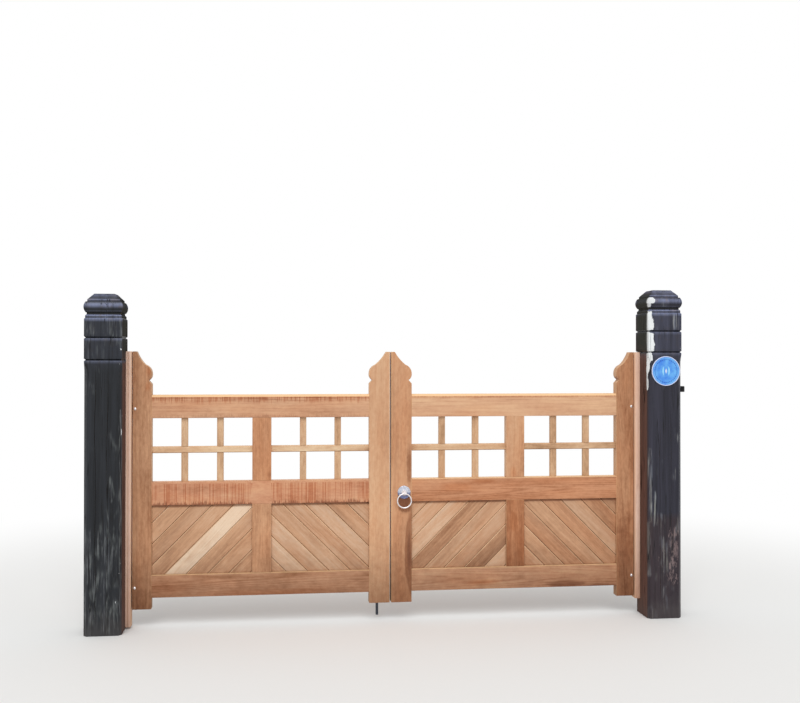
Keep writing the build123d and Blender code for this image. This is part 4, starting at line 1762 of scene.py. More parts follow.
@dataclass
class MouldedPost(SubAssembly):
    """A square post with a moulded head, V grooves, stopped chamfers and drying cracks.

    The head's widths, its painted highlights and its painted shades are told at drops below
    the post's top. A point belongs to a face from the first distance out from the post's
    middle, and wholly from the second.
    """

    side: Side
    look: PostLook
    x: float = 0.0
    top: float = 1878.0
    shaft: float = 205.0
    arris_cut: float = 18.0
    arris_stop: float = 400.0
    arris_run_out: float = 60.0
    arris_round: float = 2.2
    groove_drops: Pair = (243.0, 366.0)
    groove_wide: float = 13.0
    groove_deep: float = 8.0
    level_step: float = 15.0
    span_steps: int = 10
    crack_taper: float = 120.0
    crack_wander: Pair = (9.0, 2.0)
    ripples: Pair = (0.5, 0.35)
    face_from: Pair = (60.0, 85.0)
    below_head: float = 120.0
    highlight_fade: Pair = (370.0, 430.0)
    head_widths: tuple[Pair, ...] = (
        (0.0, 108.0), (0.5, 110.6), (1.8, 114.4), (9.0, 128.5), (17.5, 145.2), (26.0, 161.9), (31.2, 172.0),
        (33.2, 175.2), (35.0, 176.0), (39.0, 176.0), (44.0, 176.0), (45.0, 177.4), (45.0, 188.6),
        *((-drop, 2 * half) for half, drop in arc((95.0, -45.0), (105.0, -75.0), (95.0, -105.0), 14)),
        (105.4, 188.6), (105.6, 182.4), (106.2, 181.0), (115.0, 181.0), (116.2, 181.6), (118.4, 187.6),
        (120.6, 193.8), (122.0, 195.0), (124.5, 195.0), (130.0, 195.0), (135.4, 195.0), (136.6, 196.6),
        (138.4, 201.0), (139.8, 204.2), (141.4, 205.0),
    )
    highlight_drops: tuple[Pair, ...] = (
        (0.0, 0.30), (4.0, 0.12), (9.0, 0.34), (14.0, 0.36), (19.0, 0.10), (26.0, 0.10), (31.2, 0.28),
        (33.2, 0.64), (35.0, 0.50), (39.0, 0.20), (44.0, 0.12), (46.0, 0.02), (50.0, 0.08), (55.0, 0.38),
        (60.0, 0.58), (69.0, 0.52), (76.0, 0.22), (84.0, 0.03), (90.0, 0.0), (95.0, 0.06), (98.0, 0.16),
        (101.0, 0.05), (105.0, 0.0), (115.0, 0.0), (117.0, 0.45), (120.6, 0.95), (122.0, 0.90), (124.5, 0.22),
        (135.4, 0.18), (136.6, 0.45), (139.8, 0.80), (141.4, 0.50), (146.0, 0.0), (248.0, 0.0), (249.2, 0.35),
        (251.0, 0.25), (258.0, 0.0), (371.0, 0.0), (372.2, 0.30), (374.0, 0.20), (381.0, 0.0),
    )
    hollow_shade: tuple[Pair, ...] = (
        (78.0, 0.0), (88.0, 0.35), (95.0, 0.20), (99.0, 0.15), (104.0, 0.60), (106.0, 0.92), (115.0, 0.95),
        (117.0, 0.0),
    )
    groove_shade: tuple[Pair, ...] = ((-6.0, 0.0), (-3.0, 0.85), (1.0, 0.85), (4.0, 0.35), (6.0, 0.0))

    def levels(self) -> list[Pair]:
        """List the rings of the post.

        Returns:
            Height and half width of every ring from the foot up.
        """
        half, full, neck = self.groove_wide / 2, self.shaft, self.shaft - 2 * self.groove_deep
        side = [(-half - 1.2, full), (0.6 - half, full - 1.4), (-0.9, neck + 2.0)]
        groove = [*side, (0.0, neck), *((-far, width) for far, width in reversed(side))]
        marks = [self.head_widths[-1]]
        marks += [(drop + far, width) for drop in self.groove_drops for far, width in groove]
        marks += [(self.top - 2.0, full), (self.top, full - 3.0)]
        drops = list(self.head_widths)
        for (a, wa), (b, wb) in zip(marks, marks[1:]):
            if wa == wb and b - a > self.level_step * 1.5:
                count = round((b - a) / self.level_step)
                drops += [(a + (b - a) * i / count, wa) for i in range(1, count)]
            drops.append((b, wb))
        drops.sort(key=lambda level: level[0])
        return [(self.top - drop, width / 2) for drop, width in reversed(drops)]

    def corner_cut(self, z: float) -> float:
        """How much the corner is cut back.

        Args:
            z: the height.

        Returns:
            What each of the two faces loses there.
        """
        below = self.top - self.arris_stop + self.arris_run_out / 2 - z
        share = min(1.0, max(0.0, below / self.arris_run_out))
        share = share * share * (3 - 2 * share)
        return self.arris_round + (self.arris_cut - self.arris_round) * share

    def crack_at(self, crack: Crack, z: float) -> list[Pair]:
        """The two lips and the bed of a crack.

        Args:
            crack: the crack.
            z: the height.

        Returns:
            Three places over the face, each with how far it is pushed in.
        """
        phase = crack.place * 0.37 + self.x * 0.01 + crack.face * 5.0
        place = crack.place + noise.noise(Vector((z * 0.004, phase, 0.0))) * self.crack_wander[0]
        place += noise.noise(Vector((z * 0.02, phase, 3.0))) * self.crack_wander[1]
        ends = min(z - crack.foot, crack.head - z) / self.crack_taper
        share = min(1.0, ends) * (0.65 + 0.7 * noise.noise(Vector((z * 0.013, phase, 9.0))))
        share = max(0.0, share) if ends > 0.0 else 0.0
        wide = crack.wide / 2 * share + 0.15
        return [(place - wide, 0.0), (place, crack.deep * min(1.0, share * 1.2)), (place + wide, 0.0)]

    def face_points(self, face: Face, z: float, half: float) -> list[Pair]:
        """Places over one face.

        Args:
            face: the face.
            z: the height.
            half: half the post's width there.

        Returns:
            The places, each with how far it is pushed in.
        """
        edge = half - self.corner_cut(z)
        knots = [(-edge, 0.0)]
        for crack in sorted((c for c in self.look.cracks if c.face == face), key=lambda c: c.place):
            knots += self.crack_at(crack, z)
        knots.append((edge, 0.0))
        row = [knots[0]]
        for i, ((a, da), (b, db)) in enumerate(zip(knots, knots[1:])):
            steps = 1 if i % 3 else self.span_steps
            row += [(a + (b - a) * k / steps, da + (db - da) * k / steps) for k in range(1, steps + 1)]
        return row

    def ring(self, z: float, half: float) -> list[Vector]:
        """All points of one level.

        Args:
            z: its height.
            half: half its width.

        Returns:
            The points, going round from the front face.
        """
        points = []
        cut = self.corner_cut(z)
        corner = half - cut * (0.293 + 0.207 * min(1.0, max(0.0, (cut - 3.0) / 8.0)))
        phase = self.x * 0.01
        for face in Face:
            turn = Matrix.Rotation(face * math.pi / 2, 4, "Z")
            for u, deep in self.face_points(face, z, half):
                ripple = noise.noise(Vector((u * 0.05 + face * 31.0, z * 0.004, phase))) * 0.5 + 0.5
                fine = noise.noise(Vector((u * 0.22 + face * 17.0, z * 0.009, phase + 4.0))) * 0.5 + 0.5
                inward = deep + ripple * self.ripples[0] + fine * self.ripples[1]
                points.append(turn @ Vector((u, inward - half, z)))
            points.append(turn @ Vector((corner, -corner, z)))
        return [p + Vector((self.x, 0.0, 0.0)) for p in points]

    def worn(self, points: np.ndarray) -> np.ndarray:
        """How much of each mark points have.

        Args:
            points: the vertices.

        Returns:
            Rows in the order of Wear.
        """
        found = np.zeros((len(points), len(Wear)))
        for patch in self.look.patches():
            turn = np.array(Matrix.Rotation(-patch.face * math.pi / 2, 3, "Z"))
            u, deep, z = ((points - np.array([self.x, 0.0, 0.0])) @ turn.T).T
            here = np.interp(-deep, self.face_from, (0.0, 1.0))
            sideways = np.clip((patch.wide - np.abs(u - patch.place)) / patch.soft, 0.0, 1.0)
            ends = np.clip(np.minimum(z - patch.foot, patch.head - z) / patch.soft, 0.0, 1.0)
            column = found[:, patch.mark.value]
            np.maximum(column, patch.strength * here * sideways * ends, out=column)
        return found

    def build(self) -> None:
        """Build the post."""
        bm = bmesh.new()
        rings = [[bm.verts.new(p) for p in self.ring(z, half)] for z, half in self.levels()]
        skinned(bm, rings, 32.0, capped=True)
        # Faces that look into the gateway, and faces of the head leaning that way, take the shaded copy of
        # the paint.
        for face in bm.faces:
            least = 0.8 if face.calc_center_median().z < self.top - self.below_head else 0.3
            face.material_index = int(face.normal.x * self.side.way > least)
        points = points_of(bm)
        flaked, bare, browned, shaded, scuffed = self.worn(points).T
        drops = self.top - points[:, Z]
        # Painted highlights on the head, from a table of drops below the top, with a faint lighter tint on
        # the blocks below the shoulder.
        near_head = np.interp(drops, self.highlight_fade, (self.look.head_highlight, 0.0)) * (drops > self.below_head)
        highlighted = np.maximum(np.interp(drops, *zip(*self.highlight_drops)), near_head)
        shades = list(self.hollow_shade)
        shades += [(drop + far, dark) for drop in self.groove_drops for far, dark in self.groove_shade]
        shaded = np.maximum(shaded, np.interp(drops, *zip(*shades)))
        marks = {"wear": (flaked, bare, browned), "aspect": (shaded, scuffed, highlighted)}
        marks = {mark: np.stack(parts, 1) for mark, parts in marks.items()}
        piece = self.stand_in(bm, f"{self.side.value}_post", self.look.paint, "posts", marks)
        piece.data.materials.append(self.shop.get(SHADED_FLANK_PAINT))


@dataclass
class HangingStrip(SubAssembly):
    """The new batten on the inner face of a post."""

    side: Side
    foot: float
    top: float = 1560.0
    front: float = 31.5
    deep: float = 60.0
    arris: float = 4.0
    quirk: float = 3.0
    quirk_from_post: float = 13.0
    screws: tuple[float, ...] = (150.0, 480.0, 810.0, 1140.0, 1470.0)
    screw_in: float = 36.0
    screw_above: float = 30.0
    seed: int = 41

    def build(self) -> None:
        """Build the batten, the left one with a quirk down its front, and its countersunk screws."""
        x0, x1 = OPENING.left_face, OPENING.left_face + OPENING.strip_wide
        y0, y1 = self.front, self.front + self.deep
        outline = [(x0, y0), (x1 - self.arris, y0), (x1, y0 + self.arris), (x1, y1), (x0, y1)]
        look = (0.0, 0.42)
        if self.side is Side.LEFT:
            middle, half = x0 + self.quirk_from_post, self.quirk / 2
            outline[1:1] = [(middle - half, y0), (middle, y0 + self.quirk), (middle + half, y0)]
            look = (0.05, 0.2)
        bm = OPENING.on_side(self.side, soften(prism(outline, self.foot, self.top), 0.9, 2, 50.0))
        points = points_of(bm)
        timber = Timber(ALONG_Z, ALONG_Y, tuple(points.mean(0)), self.seed + len(self.side.value), *look)
        name = f"{self.side.value}_strip"
        self.stand_in(bm, name, BATTEN_TIMBER, "posts", timber.marks(points))
        rim = [(0.0, -1.5), (4.2, -1.2), (4.2, 0.15), (3.9, 0.35), (1.6, 0.42)]
        head = lathe([*rim, (1.3, -0.6), (0.0, -0.7)], 18)
        face, toward = OPENING.across(self.side, x1), (self.side.way, 0.0, 0.0)
        lowest = self.foot + self.screw_above
        places = [((face, y0 + self.screw_in, z), toward, z) for z in self.screws if z > lowest]
        self.stand(head, places, f"{name}_screws", ZINC, "posts")


@dataclass
class HingeSet(SubAssembly):
    """Dressing of the bands and hooks, with the bolts and nuts that hold them."""

    side: Side
    band_heights: Pair = (227.0, 1236.0)
    front_bolt_from_edge: float = 12.5
    pin_from_strip: float = 3.0
    band_bolts: tuple[float, ...] = (60.0, 210.0, 350.0, 480.0)
    band_face: float = 105.5
    plate_face: float = 108.5
    plate_x: float = 60.5
    plate_drop: float = 34.5
    plate_screws: Pair = (11.0, 42.0)

    @staticmethod
    def dome_head() -> Shape:
        """Domed head of a coach bolt."""
        dome = [(8.6 * math.cos(a), 0.8 + 5.0 * math.sin(a)) for a in (0.15, 0.45, 0.75, 1.05, 1.3)]
        return lathe([(0.0, -0.4), (8.4, -0.4), (8.6, 0.6), *dome, (0.0, 5.8)], 24)

    @staticmethod
    def nut() -> Shape:
        """Hexagon nut on a washer, with the bolt's end."""
        washer = lathe([(0.0, -0.2), (11.0, -0.2), (11.2, 0.4), (10.9, 1.6), (0.0, 1.7)], 26)
        hexagon = prism([(7.6 * math.cos(a), 7.6 * math.sin(a)) for a in round_turns(6)], 1.6, 8.0)
        stem = lathe([(0.0, 7.0), (4.0, 7.0), (4.0, 10.2), (3.2, 11.0), (0.0, 11.1)], 16)
        return merged([washer, soften(hexagon, 0.7, 1), stem])

    @staticmethod
    def screw_head() -> Shape:
        """Square head of a coach screw on a thin washer."""
        washer = lathe([(0.0, -0.2), (9.0, -0.2), (9.1, 0.5), (8.8, 1.3), (0.0, 1.4)], 24)
        return merged([washer, soften(box(-5.0, 5.0, -5.0, 5.0, 1.3, 6.8), 0.9)])

    def build(self) -> None:
        """Dress the iron and stand the fixings."""
        word = self.side.value
        for part in ("band_upper", "band_lower", "hook_upper", "hook_lower"):
            self.dress(f"{word}_{part}", HINGE_IRON)
        dome_x = OPENING.leaf_x[0] + self.front_bolt_from_edge
        pin_x = OPENING.left_face + OPENING.strip_wide + self.pin_from_strip
        out, up = self.plate_screws
        domes, nuts, screws = [], [], []
        for z in self.band_heights:
            domes.append(((OPENING.across(self.side, dome_x), OPENING.leaf_y[0], z), TO_ROAD, 0.0))
            for far in self.band_bolts:
                nut_x = OPENING.across(self.side, pin_x + far)
                nuts.append(((nut_x, self.band_face, z), ALONG_Y, far * 0.7 + z))
            for k in (-1, 1):
                screw_x = OPENING.across(self.side, self.plate_x + out * k)
                screws.append(((screw_x, self.plate_face, z - self.plate_drop + up * k), ALONG_Y, z))
        self.stand(self.dome_head(), domes, f"{word}_front_bolt_heads", BRIGHT_ZINC, f"{word}_leaf")
        self.stand(self.nut(), nuts, f"{word}_band_nuts", HINGE_IRON, f"{word}_leaf")
        self.stand(self.screw_head(), screws, f"{word}_hook_screws", HINGE_IRON, "posts")


@dataclass
class BarEnd(SubAssembly):
    """Cut-off iron bar that stands out of the right post's outer side."""

    x: Pair = (3307.5, 3337.5)
    y: Pair = (-75.5, -45.5)
    z: Pair = (1325.0, 1359.0)
    ease: float = 3.0

    def build(self) -> None:
        """Build the bar end with its eased outer edges."""
        bm = box(*self.x, *self.y, *self.z)
        chamfer(bm, self.ease, {X: self.x[1]})
        self.stand_in(soften(bm, 0.8), "right_post_stub", BLACK_IRON, "posts")


@dataclass
class DropBolt(SubAssembly):
    """Dressing of the drop bolt and its staples, with the staples' screws."""

    x: float = 1530.5
    plate_face: float = 103.5
    staple_heights: Pair = (233.0, 518.0)
    screw_out: float = 24.0

    def build(self) -> None:
        """Dress the bolt and stand the screws."""
        for node in ("drop_bolt", "bolt_staple_lower", "bolt_staple_upper"):
            self.dress(node, BOLT_IRON)
        head = lathe([(0.0, -0.3), (5.0, -0.3), (4.9, 0.8), (3.9, 2.2), (2.0, 2.9), (0.0, 3.0)], 20)
        across = (self.x - self.screw_out, self.x + self.screw_out)
        places = [((x, self.plate_face, z), ALONG_Y, 0.0) for z in self.staple_heights for x in across]
        self.stand(head, places, "bolt_staple_screws", BOLT_IRON, "left_leaf")


@dataclass
class RingLatch(SubAssembly):
    """Roses, spindle with its lug and knob, and the hanging ring."""

    x: float = 1681.5
    z: float = 743.0
    rose_radius: float = 38.0
    rose_thick: float = 5.0
    bore: float = 7.3
    screw_ring: float = 27.5
    screw_sunk: float = 0.9
    ring_pivot: Triple = (1681.5, 22.0, 736.0)
    ring_radius: float = 40.5
    ring_bar: float = 4.45

    def rose(self) -> Shape:
        """Round plate with an eased rim, a turned bead and a hole, about the origin."""
        r, t, b = self.rose_radius, self.rose_thick, self.bore
        profile = [(b, 0.0), (r, 0.0), (r, 2.4), (r - 0.6, 3.4), (r - 1.6, 4.2), (r - 3.0, t - 0.5)]
        profile += [(r - 4.4, t - 0.8), (r - 5.2, t - 1.3), (r - 6.4, t - 1.2)]
        profile += [(20.0, t - 0.7), (18.0, t - 0.2), (16.2, t), (b, t)]
        return lathe(profile, 72, True)

    def build(self) -> None:
        """Build the latch pieces and dress the spindle."""
        places = []
        for name, toward, y in zip(("front_rose", "rear_rose"), (TO_ROAD, ALONG_Y), OPENING.leaf_y):
            rose = turned(self.rose(), facing(toward, (self.x, y, self.z)))
            self.stand_in(rose, name, ROSE_ZINC, "right_leaf")
            level = y + toward[Y] * (self.rose_thick - self.screw_sunk)
            for a in (math.radians(90 + 120 * i) for i in range(3)):
                x, z = self.x + self.screw_ring * math.cos(a), self.z + self.screw_ring * math.sin(a)
                places.append(((x, level, z), toward, a))
        head = lathe([(0.0, -0.6), (4.0, -0.5), (4.0, 0.3), (3.2, 1.1), (1.5, 1.5), (0.0, 1.55)], 20)
        self.stand(head, places, "rose_screws", ZINC, "right_leaf")
        self.dress("latch_spindle", BRIGHT_ZINC)
        far = self.ring_radius
        centre = Vector(self.ring_pivot) - Vector((0.0, 0.0, far))
        points = [centre + Vector((math.sin(a), 0.0, math.cos(a))) * far for a in round_turns(96)]
        self.stand_in(hoop(points, self.ring_bar, 20), "latch_ring", BRIGHT_ZINC, "ring")


@dataclass
class Plaque(SubAssembly):
    """Enamelled disc with a raised rim, a beaded circle and a plain lozenge."""

    place: Triple = (3210.0, -102.5, 1449.0)
    radius: float = 86.5
    thick: float = 5.0
    rim: float = 5.0
    rim_proud: float = 1.5
    bead_circle: float = 67.0
    beads: int = 36
    bead: float = 3.6
    leaf_out: float = 14.0
    leaf_high: float = 28.0
    leaf_bows: Pair = (9.0, -0.5)
    sides: int = 120

    def leaf_outline(self, way: float) -> list[Pair]:
        """A slim upright leaf beside the lozenge, bowed outward.

        Args:
            way: the side that it is on.

        Returns:
            Its corners.
        """
        tip, foot = (self.leaf_out, self.leaf_high), (self.leaf_out, -self.leaf_high)
        outer, inner = ((self.leaf_out + bow, 0.0) for bow in self.leaf_bows)
        outline = [tip, *arc(tip, outer, foot, 12), *arc(foot, inner, tip, 12)[:-1]]
        return [(way * u, v) for u, v in outline]

    def build(self) -> None:
        """Build the disc, its rim and the raised marks."""
        r, t, b = self.radius, self.thick, self.bead
        inner, top = r - self.rim, t + self.rim_proud
        to_face = facing(TO_ROAD, self.place)
        disc = [(0.0, 0.0), (inner + 1.0, 0.0), (inner + 0.6, t), (30.0, t + 0.25), (0.0, t + 0.35)]
        self.stand_in(turned(lathe(disc, self.sides), to_face), "plaque", BLUE_ENAMEL, "posts")
        bead = lathe([(0.0, -0.5), (b, -0.5), (b * 0.92, 0.4), (b * 0.5, 0.85), (0.0, 1.0)], 12)
        far = self.bead_circle
        places = [((far * math.cos(a), far * math.sin(a), t), ALONG_Z, 0.0) for a in round_turns(self.beads)]
        self.stand(bead, places, "plaque_beads", DEEP_ENAMEL, "posts", to_face)
        rim = [(inner, 0.0), (r - 0.3, 0.0), (r, 0.6), (r, top - 1.2), (r - 0.5, top - 0.4), (r - 1.4, top)]
        rim += [(inner + 1.2, top), (inner + 0.3, top - 0.5), (inner, top - 1.2)]
        lozenge = soften(prism([(0.0, -16.0), (6.5, 0.0), (0.0, 16.0), (-6.5, 0.0)], t - 0.5, t + 1.0), 0.5)
        marks = turned(merged([lathe(rim, self.sides, True), lozenge]), to_face)
        self.settle(marks, "plaque_rim_and_lozenge", PALE_ENAMEL, "posts")
        ring = [(inner - 7.0, t - 1.0), (inner - 5.6, t - 1.0)]
        ring += [(inner - 5.7, t + 0.7), (inner - 6.9, t + 0.7)]
        leaves = [prism(self.leaf_outline(way), t - 0.5, t + 0.9) for way in (-1.0, 1.0)]
        marks = turned(merged([lathe(ring, self.sides, True), *leaves]), to_face)
        self.settle(marks, "plaque_ring_and_leaves", LIGHT_ENAMEL, "posts")


# Studio


@dataclass(frozen=True)
class Viewpoint:
    """Camera place in metres, its turn, rise and roll in degrees, and its lens."""

    place: Triple = (0.9506, -5.7616, 1.5165)
    turn: float = 6.943
    rise: float = 0.444
    roll: float = 0.044
    lens: float = 45.19

    def set_up(self) -> None:
        """Make the camera and use it."""
        data = bpy.data.cameras.new("camera")
        data.sensor_fit = "HORIZONTAL"
        data.sensor_width = 36.0
        data.lens = self.lens
        camera = placed("camera", data)
        aim = Matrix.Translation(self.place)
        for angle, axis in ((-self.turn, "Z"), (90.0 + self.rise, "X"), (self.roll, "Z")):
            aim = aim @ Matrix.Rotation(math.radians(angle), 4, axis)
        camera.matrix_world = aim
        bpy.context.scene.camera = camera


@dataclass(frozen=True)
class Studio:
    """Pale floor, white surround and soft light."""

    floor_half: float = 60.0
    floor_colour: Colour = (0.80, 0.80, 0.79, 1.0)
    grit_colour: Colour = (0.62, 0.62, 0.61, 1.0)
    sky: float = 0.72
    sun: float = 1.45
    sun_spread: float = 40.0
    sun_turn: Triple = (42.0, 0.0, -7.0)
    middle: Pair = (1.6, 0.0)
    fade: Pair = (2.6, 5.2)

    def build_floor(self) -> None:
        """Lay the floor; past its middle the camera sees it fade into the surround."""
        s = Surface("floor")
        x, y, _ = s.split(s.here)
        u, v = x - self.middle[0], y - self.middle[1]
        s.colour = s.mix(s.cloud(s.here, 60.0, detail=3.0) * 0.08, self.floor_colour, self.grit_colour)
        s.finish(Roughness=0.85)
        far = s.rise((u * u + v * v) ** 0.5, *self.fade)
        seen = s.value("ShaderNodeLightPath", output="Is Camera Ray")
        glow = s.node("ShaderNodeEmission", None, {0: WHITE, 1: 1.0})
        s.plug(s.end.inputs[0], s.node("ShaderNodeMixShader", None, {0: far * seen, 1: s.shader, 2: glow}))
        half = self.floor_half
        corners = [(-half, -half, 0.0), (half, -half, 0.0), (half, half, 0.0), (-half, half, 0.0)]
        mesh = bpy.data.meshes.new("floor")
        mesh.from_pydata(corners, [], [(0, 1, 2, 3)])
        mesh.materials.append(s.material)
        placed("floor", mesh)

    def build_light(self) -> None:
        """Set the surround and the soft sun."""
        world = bpy.data.worlds.new("surround")
        world.use_nodes = True
        graph = Graph(world.node_tree)
        graph.tree.nodes.clear()
        path = graph.node("ShaderNodeLightPath")
        rays = [Val(graph, path.outputs[f"Is {kind} Ray"]) for kind in ("Camera", "Glossy", "Transmission")]
        seen = rays[0].most(rays[1]).most(rays[2])
        light = graph.node("ShaderNodeBackground", None, {0: WHITE, 1: seen * (1.0 - self.sky) + self.sky})
        graph.node("ShaderNodeOutputWorld", None, {0: light})
        bpy.context.scene.world = world
        data = bpy.data.lights.new("sun", "SUN")
        data.energy = self.sun
        data.angle = math.radians(self.sun_spread)
        placed("sun", data).rotation_euler = tuple(math.radians(a) for a in self.sun_turn)


# Looks of the leaves and the posts


LEFT_LEAF = LeafLook(
    tones={
        "hanging_stile": (-0.22, 0.10),
        "meeting_stile": (0.15, 0.0),
        "top_rail": (0.03, 0.10, 0.036),
        "middle_rail": (0.06, 0.32, 0.17),
        "bottom_rail": (-0.09, 0.08),
        "upper_muntin": (-0.05, 0.60),
        "lower_muntin": (-0.11, 0.12),
        "outer_bars": (0.12, 0.06),
        "inner_bars": (0.08, 0.10),
        "outer_level_bars": (0.20, 0.04),
        "inner_level_bars": (0.26, 0.0),
        "outer_boards": (0.02, 0.04),
        "inner_boards": (0.09, 0.02),
    },
    boards={
        Bay.OUTER: (-266.0, 85.3, -0.2, -0.10, 0.04, -0.06, -0.04, 0.86, -0.02, -0.02, -0.12, -0.14),
        Bay.INNER: (-278.0, 86.7, -0.1, 0.12, 0.26, 0.12, 0.04, -0.02, 0.10, -0.14, -0.10, -0.1),
    },
    damps={
        "bottom_rail": ((330.0, 230.0, 160.0, 60.0, 0.45), (1400.0, 250.0, 120.0, 40.0, 0.5)),
        "upper_muntin": ((905.0, 860.0, 24.0, 130.0, 0.5),),
    },
    blushes={
        "hanging_stile": ((228.0, 1450.0, 16.0, 22.0, 0.9), (222.0, 1362.0, 18.0, 26.0, 0.8)),
        "bottom_rail": ((900.0, 182.0, 420.0, 18.0, 0.5), (330.0, 230.0, 160.0, 60.0, 0.4)),
    },
    dry_spans={"middle_rail": (807.5, 915.5)},
)
RIGHT_LEAF = LeafLook(
    tones={
        "hanging_stile": (-0.19, 0.40),
        "meeting_stile": (-0.02, 0.30),
        "top_rail": (0.23, 0.0, 0.008),
        "middle_rail": (-0.07, 0.70),
        "bottom_rail": (0.08, 0.14),
        "upper_muntin": (0.09, 0.18),
        "lower_muntin": (-0.34, 0.80),
        "outer_bars": (0.12, 0.05),
        "inner_bars": (0.14, 0.10),
        "outer_level_bars": (0.12, 0.05),
        "inner_level_bars": (0.26, 0.20),
        "outer_boards": (-0.06, 0.26),
        "inner_boards": (0.02, 0.12),
    },
    boards={
        Bay.OUTER: (-266.0, 86.0, -0.2, -0.16, -0.08, 0.08, 0.0, 0.02, 0.0, 0.0, 0.26, 0.2),
        Bay.INNER: (-246.0, 84.7, 0.1, 0.34, -0.30, 0.02, 0.04, -0.22, 0.22, 0.26, 0.02, 0.0),
    },
    damps={
        # Partly water staining and partly painted shade: in and just below the latch ring it is the ring's
        # shadow, and along the edge by the panels it is the shade there.
        "meeting_stile": (
            (1712.0, 900.0, 26.0, 180.0, 0.8), (1681.5, 702.0, 42.0, 46.0, 3.2),
            (1684.0, 652.0, 46.0, 34.0, 1.3), (1703.0, 420.0, 20.0, 230.0, 0.9),
            (1724.0, 420.0, 26.0, 360.0, 1.1), (1700.0, 300.0, 60.0, 220.0, 0.35),
        ),
        "upper_muntin": ((2397.0, 900.0, 50.0, 180.0, 0.55),),
        "middle_rail": ((1900.0, 700.0, 260.0, 30.0, 0.35),),
        "bottom_rail": (
            (2650.0, 186.0, 140.0, 26.0, 0.85), (2860.0, 174.0, 130.0, 14.0, 0.8),
            (2700.0, 240.0, 520.0, 120.0, 0.38),
        ),
        "hanging_stile": ((3013.0, 380.0, 90.0, 420.0, 0.65),),
    },
    blushes={
        "bottom_rail": ((2160.0, 213.0, 120.0, 18.0, 0.9),),
        "middle_rail": ((1990.0, 770.0, 110.0, 26.0, 0.5), (2150.0, 800.0, 90.0, 18.0, 0.5)),
        "upper_muntin": ((2330.0, 850.0, 24.0, 40.0, 0.6),),
        "lower_muntin": ((2330.0, 560.0, 26.0, 60.0, 0.6),),
    },
)
WORN_FOOT = ((0.0, 130.0, -80.0, 600.0, 0.3),)
SHADED_HEAD = ((0.0, 88.0, 1550.0, 1960.0, 0.97, 4.0),)
LEFT_POST = PostLook(
    paint=POST_PAINT,
    head_highlight=0.03,
    cracks=(
        Crack(Face.FRONT, -40.0, 60.0, 1495.0, 3.4, 8.0),
        Crack(Face.FRONT, 26.0, 240.0, 1500.0, 2.8, 7.0),
        Crack(Face.FRONT, -8.0, 1640.0, 1728.0, 2.2, 4.0),
        Crack(Face.RIGHT, -28.0, 200.0, 1400.0),
        Crack(Face.BACK, 12.0, 150.0, 1490.0, 3.2),
        Crack(Face.LEFT, -20.0, 80.0, 1300.0),
    ),
    wear={
        (Wear.SCUFFED, Face.FRONT): (
            (0.0, 125.0, 1640.0, 1775.0, 0.68, 16.0), (0.0, 125.0, 1500.0, 1660.0, 0.36, 16.0),
            (40.0, 24.0, 720.0, 890.0, 1.0, 24.0), (-65.0, 70.0, 220.0, 660.0, 1.15, 90.0),
            (30.0, 60.0, 260.0, 740.0, 0.8, 90.0), (96.0, 13.0, 40.0, 1250.0, 0.95, 8.0),
            (0.0, 150.0, -120.0, 660.0, 0.55, 90.0),
        ),
        (Wear.FLAKED, Face.FRONT): (
            (35.0, 12.0, 1720.0, 1735.0, 0.9, 5.0), (97.0, 8.0, 1556.0, 1660.0, 0.46, 6.0),
            (92.0, 6.0, 1484.0, 1498.0, 0.9, 4.0), (82.0, 26.0, 60.0, 640.0, 0.16, 20.0),
            (97.0, 9.0, 1030.0, 1214.0, 0.40, 6.0), (85.0, 6.0, 865.0, 970.0, 0.40, 5.0),
            (97.0, 8.0, 340.0, 424.0, 0.46, 6.0),
        ),
        (Wear.BARE, Face.RIGHT): ((0.0, 130.0, -80.0, 500.0, 0.2),),
        (Wear.BARE, Face.BACK): WORN_FOOT,
        (Wear.BARE, Face.LEFT): WORN_FOOT,
        (Wear.SHADED, Face.RIGHT): SHADED_HEAD,
        (Wear.BROWNED, Face.RIGHT): ((0.0, 88.0, -80.0, 1500.0, 0.8, 4.0),),
    },
)
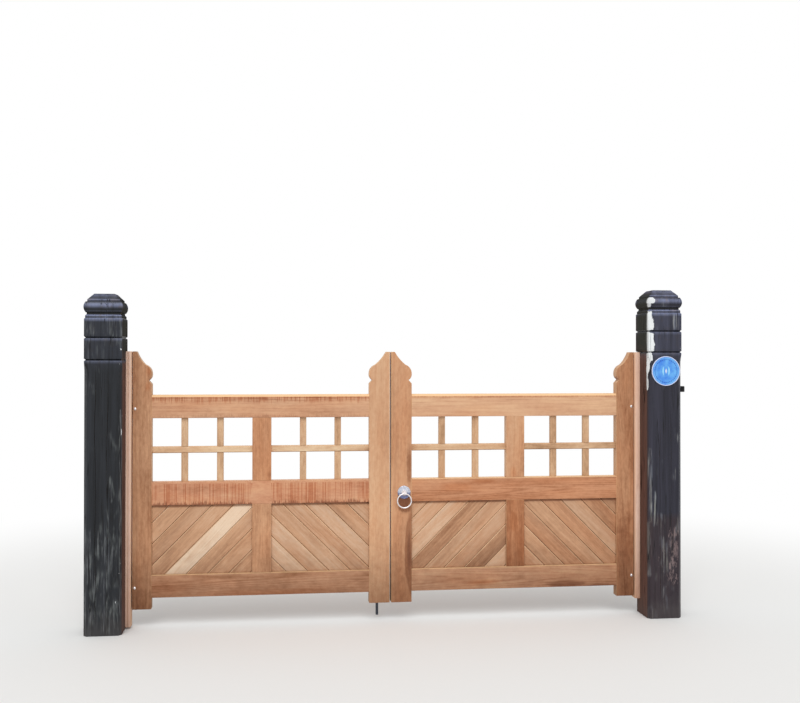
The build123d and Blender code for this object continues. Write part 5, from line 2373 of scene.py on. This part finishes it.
RIGHT_POST = PostLook(
    paint=BLUER_PAINT,
    head_highlight=0.08,
    cracks=(
        Crack(Face.FRONT, -30.0, 100.0, 1150.0, 2.4, 6.0),
        Crack(Face.FRONT, 38.0, 300.0, 1240.0, 2.0, 5.0),
        Crack(Face.FRONT, 42.0, 1694.0, 1780.0, 2.2, 3.5),
        Crack(Face.RIGHT, 10.0, 150.0, 1400.0),
        Crack(Face.BACK, -18.0, 120.0, 1500.0, 3.0),
        Crack(Face.LEFT, 24.0, 200.0, 1450.0),
    ),
    wear={
        (Wear.FLAKED, Face.FRONT): (
            (-98.0, 44.0, 1836.0, 1885.0, 1.1, 16.0), (-103.0, 28.0, 1812.0, 1850.0, 1.0, 14.0),
            (-106.0, 36.0, 1684.0, 1810.0, 1.1, 18.0), (-104.0, 48.0, 1676.0, 1770.0, 1.1, 22.0),
            (-104.0, 48.0, 1540.0, 1690.0, 1.05, 26.0), (-100.0, 32.0, 1496.0, 1564.0, 1.0, 16.0),
            (-105.0, 21.0, 1440.0, 1520.0, 1.0, 12.0), (-107.0, 13.0, 1330.0, 1476.0, 0.85, 6.0),
            (97.0, 8.0, 1566.0, 1662.0, 0.66, 8.0),
        ),
        (Wear.SHADED, Face.FRONT): ((-80.0, 40.0, 1679.5, 1686.5, 1.0, 3.0),),
        (Wear.SCUFFED, Face.FRONT): (
            (68.0, 22.0, 1688.0, 1790.0, 0.85, 6.0), (-88.0, 18.0, 560.0, 1010.0, 1.05, 14.0),
            (-62.0, 22.0, 530.0, 760.0, 1.0, 18.0), (-95.0, 16.0, 240.0, 580.0, 1.2, 10.0),
            (0.0, 130.0, -80.0, 640.0, 0.25),
        ),
        (Wear.BARE, Face.FRONT): ((50.0, 60.0, 170.0, 560.0, 0.52), (-20.0, 60.0, 130.0, 460.0, 0.30)),
        (Wear.BROWNED, Face.FRONT): ((0.0, 130.0, -80.0, 620.0, 0.5),),
        (Wear.SHADED, Face.LEFT): SHADED_HEAD,
        (Wear.BROWNED, Face.LEFT): ((0.0, 88.0, -80.0, 1600.0, 0.95, 4.0),),
        (Wear.BARE, Face.RIGHT): WORN_FOOT,
        (Wear.BARE, Face.BACK): WORN_FOOT,
    },
)


def main() -> None:
    """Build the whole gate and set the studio."""
    logging.basicConfig(level=logging.INFO, format="%(name)s: %(message)s")
    bpy.context.scene.view_settings.view_transform = "Standard"
    Viewpoint().set_up()
    shop = Workshop()
    groups = [
        MouldedPost(shop, Side.LEFT, LEFT_POST),
        MouldedPost(shop, Side.RIGHT, RIGHT_POST, x=OPENING.post_side + OPENING.clear, top=1926.0),
        HangingStrip(shop, Side.LEFT, foot=10.0),
        HangingStrip(shop, Side.RIGHT, foot=90.0),
        Plaque(shop),
        GateLeaf(shop, Side.LEFT, LEFT_LEAF),
        GateLeaf(shop, Side.RIGHT, RIGHT_LEAF),
        HingeSet(shop, Side.LEFT),
        HingeSet(shop, Side.RIGHT),
        BarEnd(shop),
        DropBolt(shop),
        RingLatch(shop),
    ]
    for group in groups:
        group.build()
        group.report()
    studio = Studio()
    studio.build_floor()
    studio.build_light()
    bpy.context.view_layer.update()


if __name__ == "__main__":
    main()
